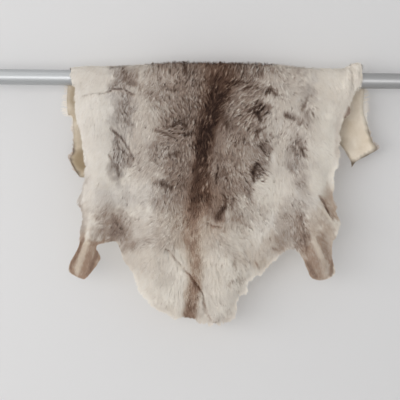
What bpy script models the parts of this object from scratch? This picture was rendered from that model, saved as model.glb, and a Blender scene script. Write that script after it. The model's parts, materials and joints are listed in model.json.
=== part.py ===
"""Reindeer hide, tanned with its hair on, hung over a round rail.

Metres, +Z up. The origin is the middle of the rail's left end face and the
rail runs along +X. The hair side of the front drop faces -Y, and the bare
flesh side faces the rail. The rump and hind legs hang in front, and the
shoulders, forelegs and neck hang behind.

The skin is laid out flat first: x runs across it from the spine line, and s
runs along it from the ridge on the rail, positive down the front drop and
negative down the back drop. drape() then bends that flat skin over the rail.
"""

import math

import bmesh
import bpy
import numpy as np
from mathutils import Vector, geometry

RAIL_DIAMETER = 0.048
RAIL_LENGTH = 1.50
RAIL_SIDES = 64
SPINE_X = 0.797  # the spine line, measured from the rail's left end face

RAIL_CLEARANCE = 0.003  # at the mesh points, and 2 mm halfway between them
BEND_RADIUS = RAIL_DIAMETER / 2 + RAIL_CLEARANCE
BEND = BEND_RADIUS * math.pi / 2  # skin used by a quarter of the bend
STAND_OFF = 0.012  # the stiff skin springs this much further out below the rail
STAND_OFF_DROP = 0.14

PITCH = 0.0245  # spacing of the mesh points on the flat skin
BEND_ROWS = 4  # rows of points to a quarter of the bend
EDGE_PITCH = 0.0145
EDGE_ROOM = 0.014  # kept free of points inside the edge

# Thickness of the skin with its lying hair, over the flesh side.
PILE_SPINE = 0.024
PILE_FLANK = 0.013
PILE_EDGE = 0.0055
PILE_LEG = 0.0070
SPINE_NEAR, SPINE_FAR = 0.10, 0.36  # the back hair thins out between these
EDGE_TAPER = 0.055

# The outline of the front drop, from the ridge down the left side, round the
# rump and up the right side: x across, and how far down from the rail's axis.
FRONT_EDGE = (
    # left flank
    (-0.440, 0.015),
    (-0.430, 0.045),
    (-0.430, 0.125),
    (-0.415, 0.155),
    (-0.405, 0.215),
    (-0.395, 0.285),
    (-0.400, 0.325),
    (-0.415, 0.365),
    (-0.415, 0.395),
    (-0.400, 0.415),
    # left hind leg
    (-0.400, 0.440),
    (-0.410, 0.470),
    (-0.410, 0.495),
    (-0.420, 0.525),
    (-0.445, 0.570),
    (-0.450, 0.590),
    (-0.440, 0.605),
    (-0.405, 0.620),
    (-0.390, 0.615),
    (-0.355, 0.565),
    (-0.350, 0.550),
    (-0.365, 0.520),
    # left thigh
    (-0.340, 0.510),
    (-0.305, 0.505),
    (-0.290, 0.530),
    (-0.280, 0.560),
    (-0.260, 0.585),
    (-0.240, 0.605),
    (-0.230, 0.645),
    (-0.210, 0.670),
    # rump
    (-0.190, 0.695),
    (-0.170, 0.710),
    (-0.140, 0.720),
    (-0.120, 0.740),
    (-0.095, 0.735),
    (-0.055, 0.740),
    (0.000, 0.755),
    (0.030, 0.745),
    (0.060, 0.730),
    (0.065, 0.690),
    # right thigh
    (0.075, 0.665),
    (0.100, 0.655),
    (0.095, 0.630),
    (0.110, 0.615),
    (0.130, 0.605),
    (0.155, 0.585),
    (0.175, 0.560),
    (0.205, 0.525),
    (0.230, 0.515),
    (0.250, 0.520),
    # right hind leg
    (0.270, 0.550),
    (0.285, 0.585),
    (0.295, 0.605),
    (0.310, 0.615),
    (0.335, 0.615),
    (0.360, 0.605),
    (0.370, 0.585),
    (0.360, 0.545),
    (0.360, 0.500),
    (0.370, 0.485),
    # right flank
    (0.380, 0.465),
    (0.385, 0.440),
    (0.370, 0.400),
    (0.360, 0.350),
    (0.360, 0.290),
    (0.375, 0.245),
    (0.375, 0.160),
    (0.390, 0.125),
    (0.410, 0.080),
    (0.420, 0.050),
    (0.445, 0.020),
)
# The outline of the back drop, from the ridge down the right side, round the
# neck and up the left side.
BACK_EDGE = (
    # right shoulder
    (0.465, 0.020),
    (0.460, 0.080),
    (0.475, 0.140),
    (0.490, 0.185),
    (0.505, 0.205),
    # right foreleg
    (0.495, 0.220),
    (0.470, 0.235),
    (0.440, 0.250),
    (0.425, 0.270),
    (0.420, 0.250),
    (0.400, 0.215),
    (0.380, 0.195),
    (0.345, 0.215),
    # neck
    (0.265, 0.295),
    (0.220, 0.370),
    (0.190, 0.430),
    (0.100, 0.455),
    (0.000, 0.460),
    (-0.095, 0.455),
    (-0.170, 0.430),
    (-0.205, 0.370),
    (-0.265, 0.320),
    (-0.360, 0.305),
    # left foreleg
    (-0.415, 0.310),
    (-0.430, 0.300),
    (-0.455, 0.255),
    (-0.445, 0.225),
    (-0.445, 0.170),
    # left shoulder
    (-0.450, 0.120),
    (-0.465, 0.110),
    (-0.465, 0.025),
)
RIDGE_ENDS = ((-0.450, 0.0), (0.450, 0.0))  # left and right

# Soft folds that run down a drop. Depth is towards the hair side, and a
# negative one is a trough. Top and foot are distances down the drop.
FOLD_COLUMNS = ("x", "lean", "width", "depth", "top", "foot")
FRONT_FOLDS = (
    (-0.372, 0.03, 0.050, 0.013, 0.00, 0.46),
    (-0.285, 0.08, 0.040, -0.009, 0.04, 0.42),
    (-0.190, 0.10, 0.060, 0.008, 0.05, 0.60),
    (-0.060, -0.12, 0.050, -0.006, 0.10, 0.70),
    (0.075, -0.10, 0.070, 0.011, 0.08, 0.72),
    (0.190, -0.02, 0.045, -0.009, 0.10, 0.50),
    (0.275, 0.04, 0.050, 0.011, 0.02, 0.52),
    (0.335, 0.02, 0.030, -0.007, 0.16, 0.50),
)
BACK_FOLDS = (
    (-0.405, -0.02, 0.045, -0.010, 0.02, 0.34),
    (-0.300, 0.05, 0.060, 0.012, 0.05, 0.36),
    (-0.120, 0.02, 0.060, -0.010, 0.06, 0.46),
    (0.030, 0.03, 0.070, 0.012, 0.05, 0.46),
    (0.190, 0.06, 0.060, -0.010, 0.08, 0.42),
    (0.330, 0.10, 0.050, 0.011, 0.02, 0.26),
    (0.435, -0.06, 0.032, -0.012, 0.05, 0.27),
)

# Ridges that run aslant on the front drop, as the skin buckles at a leg.
CREASE_COLUMNS = ("x0", "down0", "x1", "down1", "width", "depth")
FRONT_CREASES = (
    (0.290, 0.370, 0.372, 0.470, 0.026, 0.012),  # right groin
    (-0.400, 0.330, -0.390, 0.590, 0.026, 0.010),  # left leg's crown
    (0.300, 0.440, 0.335, 0.600, 0.034, 0.012),  # right leg's crown
    (-0.145, 0.520, -0.010, 0.740, 0.030, 0.008),  # left lobe of the rump
    (-0.095, 0.560, 0.030, 0.745, 0.026, -0.006),  # tuck beside that lobe
)

EDGE_CURL = 0.010  # the sides of both drops curl towards the flesh side
CURL_WIDTH = 0.045
HEM_WAVE = 0.006
HEM_WAVE_LENGTH = 0.19

RIDGE_ARCH = 0.007  # the thick middle of the skin lifts off the rail
ARCH_NEAR, ARCH_FAR = 0.12, 0.30
BUCKLE_X = 0.435  # the right edge of the skin buckles up over the rail
BUCKLE_WIDTH = 0.030
BUCKLE_HEIGHT = 0.019


def clear_scene():
    for obj in list(bpy.data.objects):
        bpy.data.objects.remove(obj, do_unlink=True)


def smooth_step(value, low, high):
    """0 below low, 1 above high, and a smooth rise between them."""
    t = np.clip((value - low) / (high - low), 0.0, 1.0)
    return t * t * (3.0 - 2.0 * t)


def flat_outline():
    """The corners of the flat skin as (x, s), once round."""
    left, right = RIDGE_ENDS
    front = [(x, BEND + down) for x, down in FRONT_EDGE]
    back = [(x, -BEND - down) for x, down in BACK_EDGE]
    return [left, *front, right, *back]


def rounded(corners, pitch):
    """A smooth closed line through the corners, with points at most pitch apart."""
    line = []
    count = len(corners)
    for i in range(count):
        before, here, after, beyond = (
            np.array(corners[(i + k) % count]) for k in (-1, 0, 1, 2)
        )
        steps = max(1, math.ceil(np.linalg.norm(after - here) / pitch))
        for k in range(steps):
            t = k / steps
            line.append(
                0.5
                * (
                    2 * here
                    + (after - before) * t
                    + (2 * before - 5 * here + 4 * after - beyond) * t**2
                    + (3 * here - before - 3 * after + beyond) * t**3
                )
            )
    return np.array(line)


def inside(points, line):
    """Which points lie inside the closed line."""
    x, y = points[:, 0], points[:, 1]
    found = np.zeros(len(points), bool)
    for (x0, y0), (x1, y1) in zip(line, np.roll(line, -1, axis=0)):
        if y0 == y1:
            continue
        crosses = (y0 > y) != (y1 > y)
        found ^= crosses & (x < (x1 - x0) * (y - y0) / (y1 - y0) + x0)
    return found


def edge_distance(points, line):
    """How far each point is from the nearest stretch of the closed line."""
    nearest = np.full(len(points), np.inf)
    for start, end in zip(line, np.roll(line, -1, axis=0)):
        run = end - start
        t = np.clip((points - start) @ run / max(run @ run, 1e-12), 0.0, 1.0)
        gap = np.linalg.norm(points - start - t[:, None] * run, axis=1)
        nearest = np.minimum(nearest, gap)
    return nearest


def staggered_points(line):
    """Points all over the skin, in rows that are offset like brickwork."""
    low, high = line.min(axis=0), line.max(axis=0)
    row_pitch = PITCH * math.sqrt(3) / 2
    rows = np.concatenate(
        [
            np.arange(-BEND - row_pitch, low[1], -row_pitch),
            np.linspace(-BEND, BEND, 2 * BEND_ROWS + 1),
            np.arange(BEND + row_pitch, high[1], row_pitch),
        ]
    )
    points = [
        (x + (PITCH / 2 if i % 2 else 0.0), s)
        for i, s in enumerate(rows)
        for x in np.arange(low[0], high[0], PITCH)
    ]
    points = np.array(points)
    points = points[inside(points, line)]
    return points[edge_distance(points, line) > EDGE_ROOM]


def fold_height(x, down, folds):
    """Height of the long folds towards the hair side."""
    height = np.zeros_like(x)
    for row in folds:
        fold = dict(zip(FOLD_COLUMNS, row))
        middle = fold["x"] + fold["lean"] * down
        across = np.exp(-(((x - middle) / fold["width"]) ** 2))
        opens = smooth_step(down, fold["top"], fold["top"] + 0.12)
        closes = 1.0 - 0.6 * smooth_step(down, fold["foot"] - 0.10, fold["foot"])
        height += fold["depth"] * across * opens * closes
    return height


def crease_height(x, down):
    """Height of the slanting ridges of the front drop."""
    height = np.zeros_like(x)
    for row in FRONT_CREASES:
        crease = dict(zip(CREASE_COLUMNS, row))
        run = np.array([crease["x1"] - crease["x0"], crease["down1"] - crease["down0"]])
        length = np.linalg.norm(run)
        run /= length
        along = (x - crease["x0"]) * run[0] + (down - crease["down0"]) * run[1]
        aside = (x - crease["x0"]) * run[1] - (down - crease["down0"]) * run[0]
        grows = smooth_step(along, -0.02, 0.6 * length)
        height += crease["depth"] * np.exp(-((aside / crease["width"]) ** 2)) * grows
    return height


def drape(x, s, to_edge):
    """Places flat points (x, s) on the skin's hanging flesh side."""
    angle = np.clip(s / BEND_RADIUS, -math.pi / 2, math.pi / 2)
    down = np.maximum(np.abs(s) - BEND, 0.0)
    front = s > 0
    hang = smooth_step(down, 0.0, STAND_OFF_DROP)
    out = STAND_OFF * hang
    out += np.where(
        front,
        fold_height(x, down, FRONT_FOLDS) + crease_height(x, down),
        fold_height(x, down, BACK_FOLDS),
    )
    curl = 1.0 - smooth_step(to_edge, 0.0, CURL_WIDTH)
    out -= EDGE_CURL * curl * hang
    wave = np.sin(2 * math.pi * x / HEM_WAVE_LENGTH + 1.3)
    out += HEM_WAVE * wave * smooth_step(down, 0.25, 0.60)
    arch = RIDGE_ARCH * (1.0 - smooth_step(np.abs(x), ARCH_NEAR, ARCH_FAR))
    arch += BUCKLE_HEIGHT * np.exp(-(((x - BUCKLE_X) / BUCKLE_WIDTH) ** 4))
    upright = np.cos(angle)
    side = np.where(front, -1.0, 1.0)
    y = side * (BEND_RADIUS * np.abs(np.sin(angle)) + out)
    z = BEND_RADIUS * upright - down + arch * upright**2
    return np.stack([SPINE_X + x, y, z], axis=1)


def pile_height(x, s, to_edge):
    """Thickness of the skin and its hair at flat points."""
    down = s - BEND
    from_spine = smooth_step(np.abs(x), SPINE_NEAR, SPINE_FAR)
    body = PILE_SPINE + (PILE_FLANK - PILE_SPINE) * from_spine
    leg = smooth_step(down, 0.44, 0.54) * smooth_step(np.abs(x), 0.24, 0.30)
    body = body + (PILE_LEG - body) * leg
    deep = smooth_step(to_edge, 0.0, EDGE_TAPER)
    return PILE_EDGE + (body - PILE_EDGE) * deep


def plain_material(name, colour, roughness, metallic=0.0):
    material = bpy.data.materials.new(name)
    material.use_nodes = True
    shader = material.node_tree.nodes["Principled BSDF"]
    shader.inputs["Base Color"].default_value = (*colour, 1.0)
    shader.inputs["Roughness"].default_value = roughness
    shader.inputs["Metallic"].default_value = metallic
    material.diffuse_color = (*colour, 1.0)
    return material


def make_hide(collection):
    """The skin with its hair as one closed solid."""
    line = rounded(flat_outline(), EDGE_PITCH)
    points = np.vstack([line, staggered_points(line)])
    flat = [Vector(p) for p in points]
    rim = list(range(len(line)))
    filled = geometry.delaunay_2d_cdt(flat, [], [rim], 1, 1e-7)
    corners = np.array([tuple(p) for p in filled[0]])
    to_edge = edge_distance(corners, line)
    placed = drape(corners[:, 0], corners[:, 1], to_edge)

    mesh = bpy.data.meshes.new("reindeer_hide")
    mesh.from_pydata(placed.tolist(), [], filled[2])
    shape = bmesh.new()
    shape.from_mesh(mesh)
    shape.normal_update()
    # The bend's own faces tell which way the sheet looks: the hair side is up.
    top = max(shape.faces, key=lambda face: face.calc_center_median().z)
    if top.normal.z < 0:
        bmesh.ops.reverse_faces(shape, faces=shape.faces[:])
    shape.to_mesh(mesh)
    shape.free()

    hide = bpy.data.objects.new("reindeer_hide", mesh)
    collection.objects.link(hide)
    group = hide.vertex_groups.new(name="pile")
    heights = pile_height(corners[:, 0], corners[:, 1], to_edge)
    for index, height in enumerate(heights):
        group.add([index], float(height / PILE_SPINE), "REPLACE")
    coat = hide.modifiers.new("coat", "SOLIDIFY")
    coat.thickness = PILE_SPINE
    coat.offset = 1.0
    coat.use_rim = True
    coat.vertex_group = group.name
    mesh.shade_smooth()
    mesh.materials.append(plain_material("reindeer_coat", (0.42, 0.38, 0.33), 0.85))
    return hide


def make_rail(collection):
    """A straight round rail with flat end faces."""
    bpy.ops.mesh.primitive_cylinder_add(
        vertices=RAIL_SIDES,
        radius=RAIL_DIAMETER / 2,
        depth=RAIL_LENGTH,
        location=(RAIL_LENGTH / 2, 0.0, 0.0),
        rotation=(0.0, math.pi / 2, 0.0),
    )
    rail = bpy.context.object
    rail.name = rail.data.name = "rail"
    for owner in list(rail.users_collection):
        owner.objects.unlink(rail)
    collection.objects.link(rail)
    rail.data.shade_smooth()
    rail.data.set_sharp_from_angle(angle=math.radians(40))
    rail.data.materials.append(
        plain_material("satin_aluminium", (0.62, 0.64, 0.65), 0.32, 1.0)
    )
    return rail


def main():
    clear_scene()
    collection = bpy.data.collections.new("reindeer_hide_on_rail")
    bpy.context.scene.collection.children.link(collection)
    make_rail(collection)
    make_hide(collection)


main()
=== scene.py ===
"""Reindeer hide hung over a round rail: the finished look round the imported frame.

Metres, +Z up, in the frame's own axes: the rail runs along +X and the hair side
of the front drop faces -Y. The skin is worked out flat first. x runs across it
from the spine line, and s runs along it from the ridge on the rail, positive
down the front drop and negative down the back drop. HideShape then hangs it.
"""

from __future__ import annotations

import json
import logging
import math
from dataclasses import dataclass, field
from enum import Enum

import bmesh
import bpy
import numpy as np
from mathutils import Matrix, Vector, geometry

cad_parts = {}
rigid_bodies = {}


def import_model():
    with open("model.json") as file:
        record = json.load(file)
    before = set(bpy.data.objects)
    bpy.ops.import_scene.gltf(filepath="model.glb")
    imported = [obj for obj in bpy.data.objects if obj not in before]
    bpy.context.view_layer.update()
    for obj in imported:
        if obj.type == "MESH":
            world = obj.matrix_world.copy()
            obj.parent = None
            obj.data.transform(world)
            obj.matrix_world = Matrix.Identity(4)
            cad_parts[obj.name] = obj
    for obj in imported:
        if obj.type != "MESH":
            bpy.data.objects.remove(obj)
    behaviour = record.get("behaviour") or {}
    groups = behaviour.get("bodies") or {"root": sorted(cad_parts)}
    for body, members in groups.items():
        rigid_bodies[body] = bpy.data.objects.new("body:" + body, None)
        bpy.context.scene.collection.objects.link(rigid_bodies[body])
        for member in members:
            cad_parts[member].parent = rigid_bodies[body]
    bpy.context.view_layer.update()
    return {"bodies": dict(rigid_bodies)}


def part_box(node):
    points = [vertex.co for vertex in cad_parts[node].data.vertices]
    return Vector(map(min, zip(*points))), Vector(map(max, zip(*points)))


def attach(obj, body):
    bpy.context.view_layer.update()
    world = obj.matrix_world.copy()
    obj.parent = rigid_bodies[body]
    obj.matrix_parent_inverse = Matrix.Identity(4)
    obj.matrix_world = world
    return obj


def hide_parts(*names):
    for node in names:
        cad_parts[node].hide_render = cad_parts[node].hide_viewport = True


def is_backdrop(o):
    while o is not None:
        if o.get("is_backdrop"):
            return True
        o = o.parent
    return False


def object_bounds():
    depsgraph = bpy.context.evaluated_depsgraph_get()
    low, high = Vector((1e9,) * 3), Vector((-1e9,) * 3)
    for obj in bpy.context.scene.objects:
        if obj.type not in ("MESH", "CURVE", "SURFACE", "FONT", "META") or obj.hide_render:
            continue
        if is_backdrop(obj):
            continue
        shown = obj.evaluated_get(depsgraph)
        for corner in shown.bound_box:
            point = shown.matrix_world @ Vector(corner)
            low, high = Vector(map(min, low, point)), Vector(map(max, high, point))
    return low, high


LOG = logging.getLogger("hide")
Array = np.ndarray
MM = 0.001


# ---------------------------------------------------------------- small tools


def linear(code: str, alpha: float = 1.0) -> tuple[float, float, float, float]:
    """Turns an sRGB colour into the linear one that a shader takes.

    Args:
        code: the colour as #rrggbb.
        alpha: the fourth value, as it is.

    Returns:
        Red, green, blue and alpha, from 0 to 1.
    """
    shown = [int(code[i : i + 2], 16) / 255 for i in (1, 3, 5)]
    red, green, blue = (
        c / 12.92 if c <= 0.04045 else ((c + 0.055) / 1.055) ** 2.4 for c in shown
    )
    return red, green, blue, alpha


def add_node(
    tree: bpy.types.NodeTree, kind: str, inputs: dict | None = None, **settings: object
) -> bpy.types.Node:
    """Adds one node with its settings and its links.

    Args:
        tree: the material's or the world's node tree.
        kind: the node's type name.
        inputs: a value or another node's output for each input, by name or number.
        settings: the node's own settings.

    Returns:
        The new node.
    """
    node = tree.nodes.new(kind)
    for name, value in settings.items():
        setattr(node, name, value)
    for name, value in (inputs or {}).items():
        if isinstance(value, bpy.types.NodeSocket):
            tree.links.new(value, node.inputs[name])
        else:
            node.inputs[name].default_value = value
    return node


def new_material(name: str) -> tuple[bpy.types.Material, bpy.types.NodeTree]:
    """Makes a material whose node tree is still empty, and gives both."""
    material = bpy.data.materials.new(name)
    material.use_nodes = True
    material.node_tree.nodes.clear()
    return material, material.node_tree


def set_stops(ramp: bpy.types.ColorRamp, stops: tuple[tuple[float, str], ...]) -> None:
    """Gives a colour ramp its stops.

    Args:
        ramp: the ramp of a Color Ramp node.
        stops: the place and the sRGB colour of each stop.
    """
    while len(ramp.elements) < len(stops):
        ramp.elements.new(1.0)
    for element, (place, code) in zip(ramp.elements, stops):
        element.position = place
        element.color = linear(code)


def smooth_step(value: Array, low: float, high: float) -> Array:
    """Eases a value from 0 below low to 1 above high."""
    t = np.clip((value - low) / (high - low), 0.0, 1.0)
    return t * t * (3.0 - 2.0 * t)


def unit(vectors: Array) -> Array:
    """Scales each vector to a length of 1."""
    length = np.linalg.norm(vectors, axis=-1, keepdims=True)
    return vectors / np.maximum(length, 1e-12)


class Grain:
    """Smooth seeded noise over the flat skin, from -1 to 1."""

    CELLS = 256

    def __init__(self, seed: int) -> None:
        """Draws the lattice of values that the noise runs between."""
        draw = np.random.default_rng(seed)
        self.lattice = draw.uniform(-1.0, 1.0, (self.CELLS, self.CELLS))

    def at(self, x: Array, s: Array, size: float) -> Array:
        """Reads the noise.

        Args:
            x: places across the skin.
            s: places along the skin.
            size: the distance from one value to the next, in metres.

        Returns:
            A value for each place.
        """
        u, v = x / size + 37.2, s / size + 81.7
        i, j = np.floor(u).astype(int), np.floor(v).astype(int)
        fu, fv = u - i, v - j
        fu, fv = fu * fu * (3 - 2 * fu), fv * fv * (3 - 2 * fv)
        i0, i1, j0, j1 = (k % self.CELLS for k in (i, i + 1, j, j + 1))
        low = self.lattice[i0, j0] * (1 - fu) + self.lattice[i1, j0] * fu
        high = self.lattice[i0, j1] * (1 - fu) + self.lattice[i1, j1] * fu
        return low * (1 - fv) + high * fv

    def layered(self, x: Array, s: Array, size: float, layers: int = 3) -> Array:
        """Adds up ever finer noise.

        Args:
            x: places across the skin.
            s: places along the skin.
            size: the coarsest layer's size.
            layers: how many layers there are, each half as large as the last.

        Returns:
            A value for each place, from about -1 to 1.
        """
        total, weight = np.zeros_like(x), 0.0
        for layer in range(layers):
            share = 0.55**layer
            shift = 11.3 * layer
            total += share * self.at(x + shift, s - shift, size / 2**layer)
            weight += share
        return 1.6 * total / weight


@dataclass(frozen=True)
class Grid:
    """Values on an even grid over the flat skin, read between their points."""

    low: tuple[float, float]
    pitch: float
    values: Array

    @classmethod
    def places(cls, low: Array, high: Array, pitch: float) -> tuple[Array, Array]:
        """Lists the grid's own places as two arrays, x and s."""
        across = np.arange(low[0], high[0], pitch)
        along = np.arange(low[1], high[1], pitch)
        return np.meshgrid(across, along, indexing="ij")

    def at(self, x: Array, s: Array) -> Array:
        """Reads the grid, held at its border outside it.

        Args:
            x: places across the skin.
            s: places along the skin.

        Returns:
            A value for each place.
        """
        rows, columns = self.values.shape
        u = np.clip((x - self.low[0]) / self.pitch, 0, rows - 1.001)
        v = np.clip((s - self.low[1]) / self.pitch, 0, columns - 1.001)
        i, j = u.astype(int), v.astype(int)
        fu, fv = u - i, v - j
        low = self.values[i, j] * (1 - fu) + self.values[i + 1, j] * fu
        high = self.values[i, j + 1] * (1 - fu) + self.values[i + 1, j + 1] * fu
        return low * (1 - fv) + high * fv


# ------------------------------------------------------- how the skin is cut


class Drop(Enum):
    """The two sides on which the hide hangs from the rail."""

    FRONT = 1
    BACK = -1


# The skin's outline down the front drop, from the ridge down the left side,
# round the rump and up the right side: x across, and how far down from the
# rail's axis.
FRONT_EDGE = (
    # left flank
    (-0.440, 0.015),
    (-0.430, 0.045),
    (-0.430, 0.125),
    (-0.415, 0.155),
    (-0.405, 0.215),
    (-0.395, 0.285),
    (-0.400, 0.325),
    (-0.415, 0.365),
    (-0.415, 0.395),
    (-0.400, 0.415),
    # left hind leg
    (-0.400, 0.440),
    (-0.410, 0.470),
    (-0.410, 0.495),
    (-0.420, 0.525),
    (-0.445, 0.570),
    (-0.450, 0.590),
    (-0.440, 0.605),
    (-0.405, 0.620),
    (-0.390, 0.615),
    (-0.355, 0.565),
    (-0.350, 0.550),
    (-0.365, 0.520),
    # left thigh
    (-0.340, 0.510),
    (-0.305, 0.505),
    (-0.290, 0.530),
    (-0.280, 0.560),
    (-0.260, 0.585),
    (-0.240, 0.605),
    (-0.230, 0.645),
    (-0.210, 0.670),
    # rump
    (-0.190, 0.695),
    (-0.170, 0.710),
    (-0.140, 0.720),
    (-0.120, 0.740),
    (-0.095, 0.735),
    (-0.055, 0.740),
    (0.000, 0.755),
    (0.030, 0.745),
    (0.060, 0.730),
    (0.065, 0.690),
    # right thigh
    (0.075, 0.665),
    (0.100, 0.655),
    (0.095, 0.630),
    (0.110, 0.615),
    (0.130, 0.605),
    (0.155, 0.585),
    (0.175, 0.560),
    (0.205, 0.525),
    (0.230, 0.515),
    (0.250, 0.520),
    # right hind leg
    (0.270, 0.550),
    (0.285, 0.585),
    (0.295, 0.605),
    (0.310, 0.615),
    (0.335, 0.615),
    (0.360, 0.605),
    (0.370, 0.585),
    (0.360, 0.545),
    (0.360, 0.500),
    (0.370, 0.485),
    # right flank
    (0.380, 0.465),
    (0.385, 0.440),
    (0.370, 0.400),
    (0.360, 0.350),
    (0.360, 0.290),
    (0.375, 0.245),
    (0.375, 0.160),
    (0.390, 0.125),
    (0.410, 0.080),
    (0.420, 0.050),
    (0.445, 0.020),
)
# The same for the back drop, from the ridge down the right side, round the
# neck and up the left side.
BACK_EDGE = (
    # right shoulder
    (0.465, 0.020),
    (0.460, 0.080),
    (0.475, 0.140),
    (0.490, 0.185),
    (0.505, 0.205),
    # right foreleg
    (0.495, 0.220),
    (0.470, 0.235),
    (0.440, 0.250),
    (0.425, 0.270),
    (0.420, 0.250),
    (0.400, 0.215),
    (0.380, 0.195),
    (0.345, 0.215),
    # neck
    (0.265, 0.295),
    (0.220, 0.370),
    (0.190, 0.430),
    (0.100, 0.455),
    (0.000, 0.460),
    (-0.095, 0.455),
    (-0.170, 0.430),
    (-0.205, 0.370),
    (-0.265, 0.320),
    (-0.360, 0.305),
    # left foreleg
    (-0.415, 0.310),
    (-0.430, 0.300),
    (-0.455, 0.255),
    (-0.445, 0.225),
    (-0.445, 0.170),
    # left shoulder
    (-0.450, 0.120),
    (-0.465, 0.110),
    (-0.465, 0.025),
)
RIDGE_ENDS = ((-0.450, 0.0), (0.450, 0.0))  # left and right


@dataclass(frozen=True)
class Fold:
    """A soft fold down a drop: a ridge on the hair side, or a trough if its depth is negative."""

    x: float
    lean: float
    width: float
    depth: float
    top: float
    foot: float

    def height(self, x: Array, down: Array) -> Array:
        """Works out how far the fold lifts each place."""
        middle = self.x + self.lean * down
        across = np.exp(-(((x - middle) / self.width) ** 2))
        opens = smooth_step(down, self.top, self.top + 0.12)
        closes = 1.0 - 0.6 * smooth_step(down, self.foot - 0.10, self.foot)
        return self.depth * across * opens * closes


@dataclass(frozen=True)
class Crease:
    """A ridge aslant on the front drop, where the skin buckles at a leg."""

    x0: float
    down0: float
    x1: float
    down1: float
    width: float
    depth: float

    def height(self, x: Array, down: Array) -> Array:
        """Works out how far the crease lifts each place."""
        run = np.array([self.x1 - self.x0, self.down1 - self.down0])
        length = float(np.linalg.norm(run))
        run = run / length
        along = (x - self.x0) * run[0] + (down - self.down0) * run[1]
        aside = (x - self.x0) * run[1] - (down - self.down0) * run[0]
        grows = smooth_step(along, -0.02, 0.6 * length)
        return self.depth * np.exp(-((aside / self.width) ** 2)) * grows


FRONT_FOLDS = (
    Fold(-0.372, 0.03, 0.050, 0.013, 0.00, 0.46),
    Fold(-0.285, 0.08, 0.040, -0.009, 0.04, 0.42),
    Fold(-0.190, 0.10, 0.060, 0.008, 0.05, 0.60),
    Fold(-0.060, -0.12, 0.050, -0.006, 0.10, 0.70),
    Fold(0.075, -0.10, 0.070, 0.011, 0.08, 0.72),
    Fold(0.190, -0.02, 0.045, -0.009, 0.10, 0.50),
    Fold(0.275, 0.04, 0.050, 0.011, 0.02, 0.52),
    Fold(0.335, 0.02, 0.030, -0.007, 0.16, 0.50),
)
BACK_FOLDS = (
    Fold(-0.405, -0.02, 0.045, -0.010, 0.02, 0.34),
    Fold(-0.300, 0.05, 0.060, 0.012, 0.05, 0.36),
    Fold(-0.120, 0.02, 0.060, -0.010, 0.06, 0.46),
    Fold(0.030, 0.03, 0.070, 0.012, 0.05, 0.46),
    Fold(0.190, 0.06, 0.060, -0.010, 0.08, 0.42),
    Fold(0.330, 0.10, 0.050, 0.011, 0.02, 0.26),
    Fold(0.435, -0.06, 0.032, -0.012, 0.05, 0.27),
)
FRONT_CREASES = (
    Crease(0.290, 0.370, 0.372, 0.470, 0.026, 0.012),  # right groin
    Crease(-0.400, 0.330, -0.390, 0.590, 0.026, 0.010),  # left leg's crown
    Crease(0.300, 0.440, 0.335, 0.600, 0.034, 0.012),  # right leg's crown
    Crease(-0.145, 0.520, -0.010, 0.740, 0.030, 0.008),  # left lobe of the rump
    Crease(-0.095, 0.560, 0.030, 0.745, 0.026, -0.006),  # tuck beside that lobe
)


@dataclass(frozen=True)
class Tuft:
    """A lump in the front drop's coat, or a hollow where the height is negative."""

    x: float
    down: float
    width: float
    length: float
    height: float


TUFTS = (
    # the roll over the rail's right end, with a crease beside it
    Tuft(0.431, -0.015, 0.012, 0.050, 0.009),
    Tuft(0.416, 0.000, 0.004, 0.045, -0.010),
    Tuft(0.399, 0.025, 0.013, 0.045, 0.009),
    # the tousled flanks
    Tuft(0.300, 0.070, 0.020, 0.040, 0.006),
    Tuft(0.235, 0.160, 0.018, 0.030, 0.006),
    Tuft(0.185, 0.250, 0.020, 0.030, 0.006),
    Tuft(0.260, 0.300, 0.020, 0.045, 0.005),
    Tuft(-0.210, 0.130, 0.018, 0.035, 0.005),
    Tuft(-0.240, 0.330, 0.030, 0.025, 0.005),
    # the rump's lumps
    Tuft(0.075, 0.560, 0.016, 0.030, 0.008),
    Tuft(0.045, 0.630, 0.022, 0.030, 0.007),
    Tuft(0.020, 0.560, 0.012, 0.040, -0.005),
    Tuft(-0.150, 0.620, 0.040, 0.040, 0.006),
)


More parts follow.
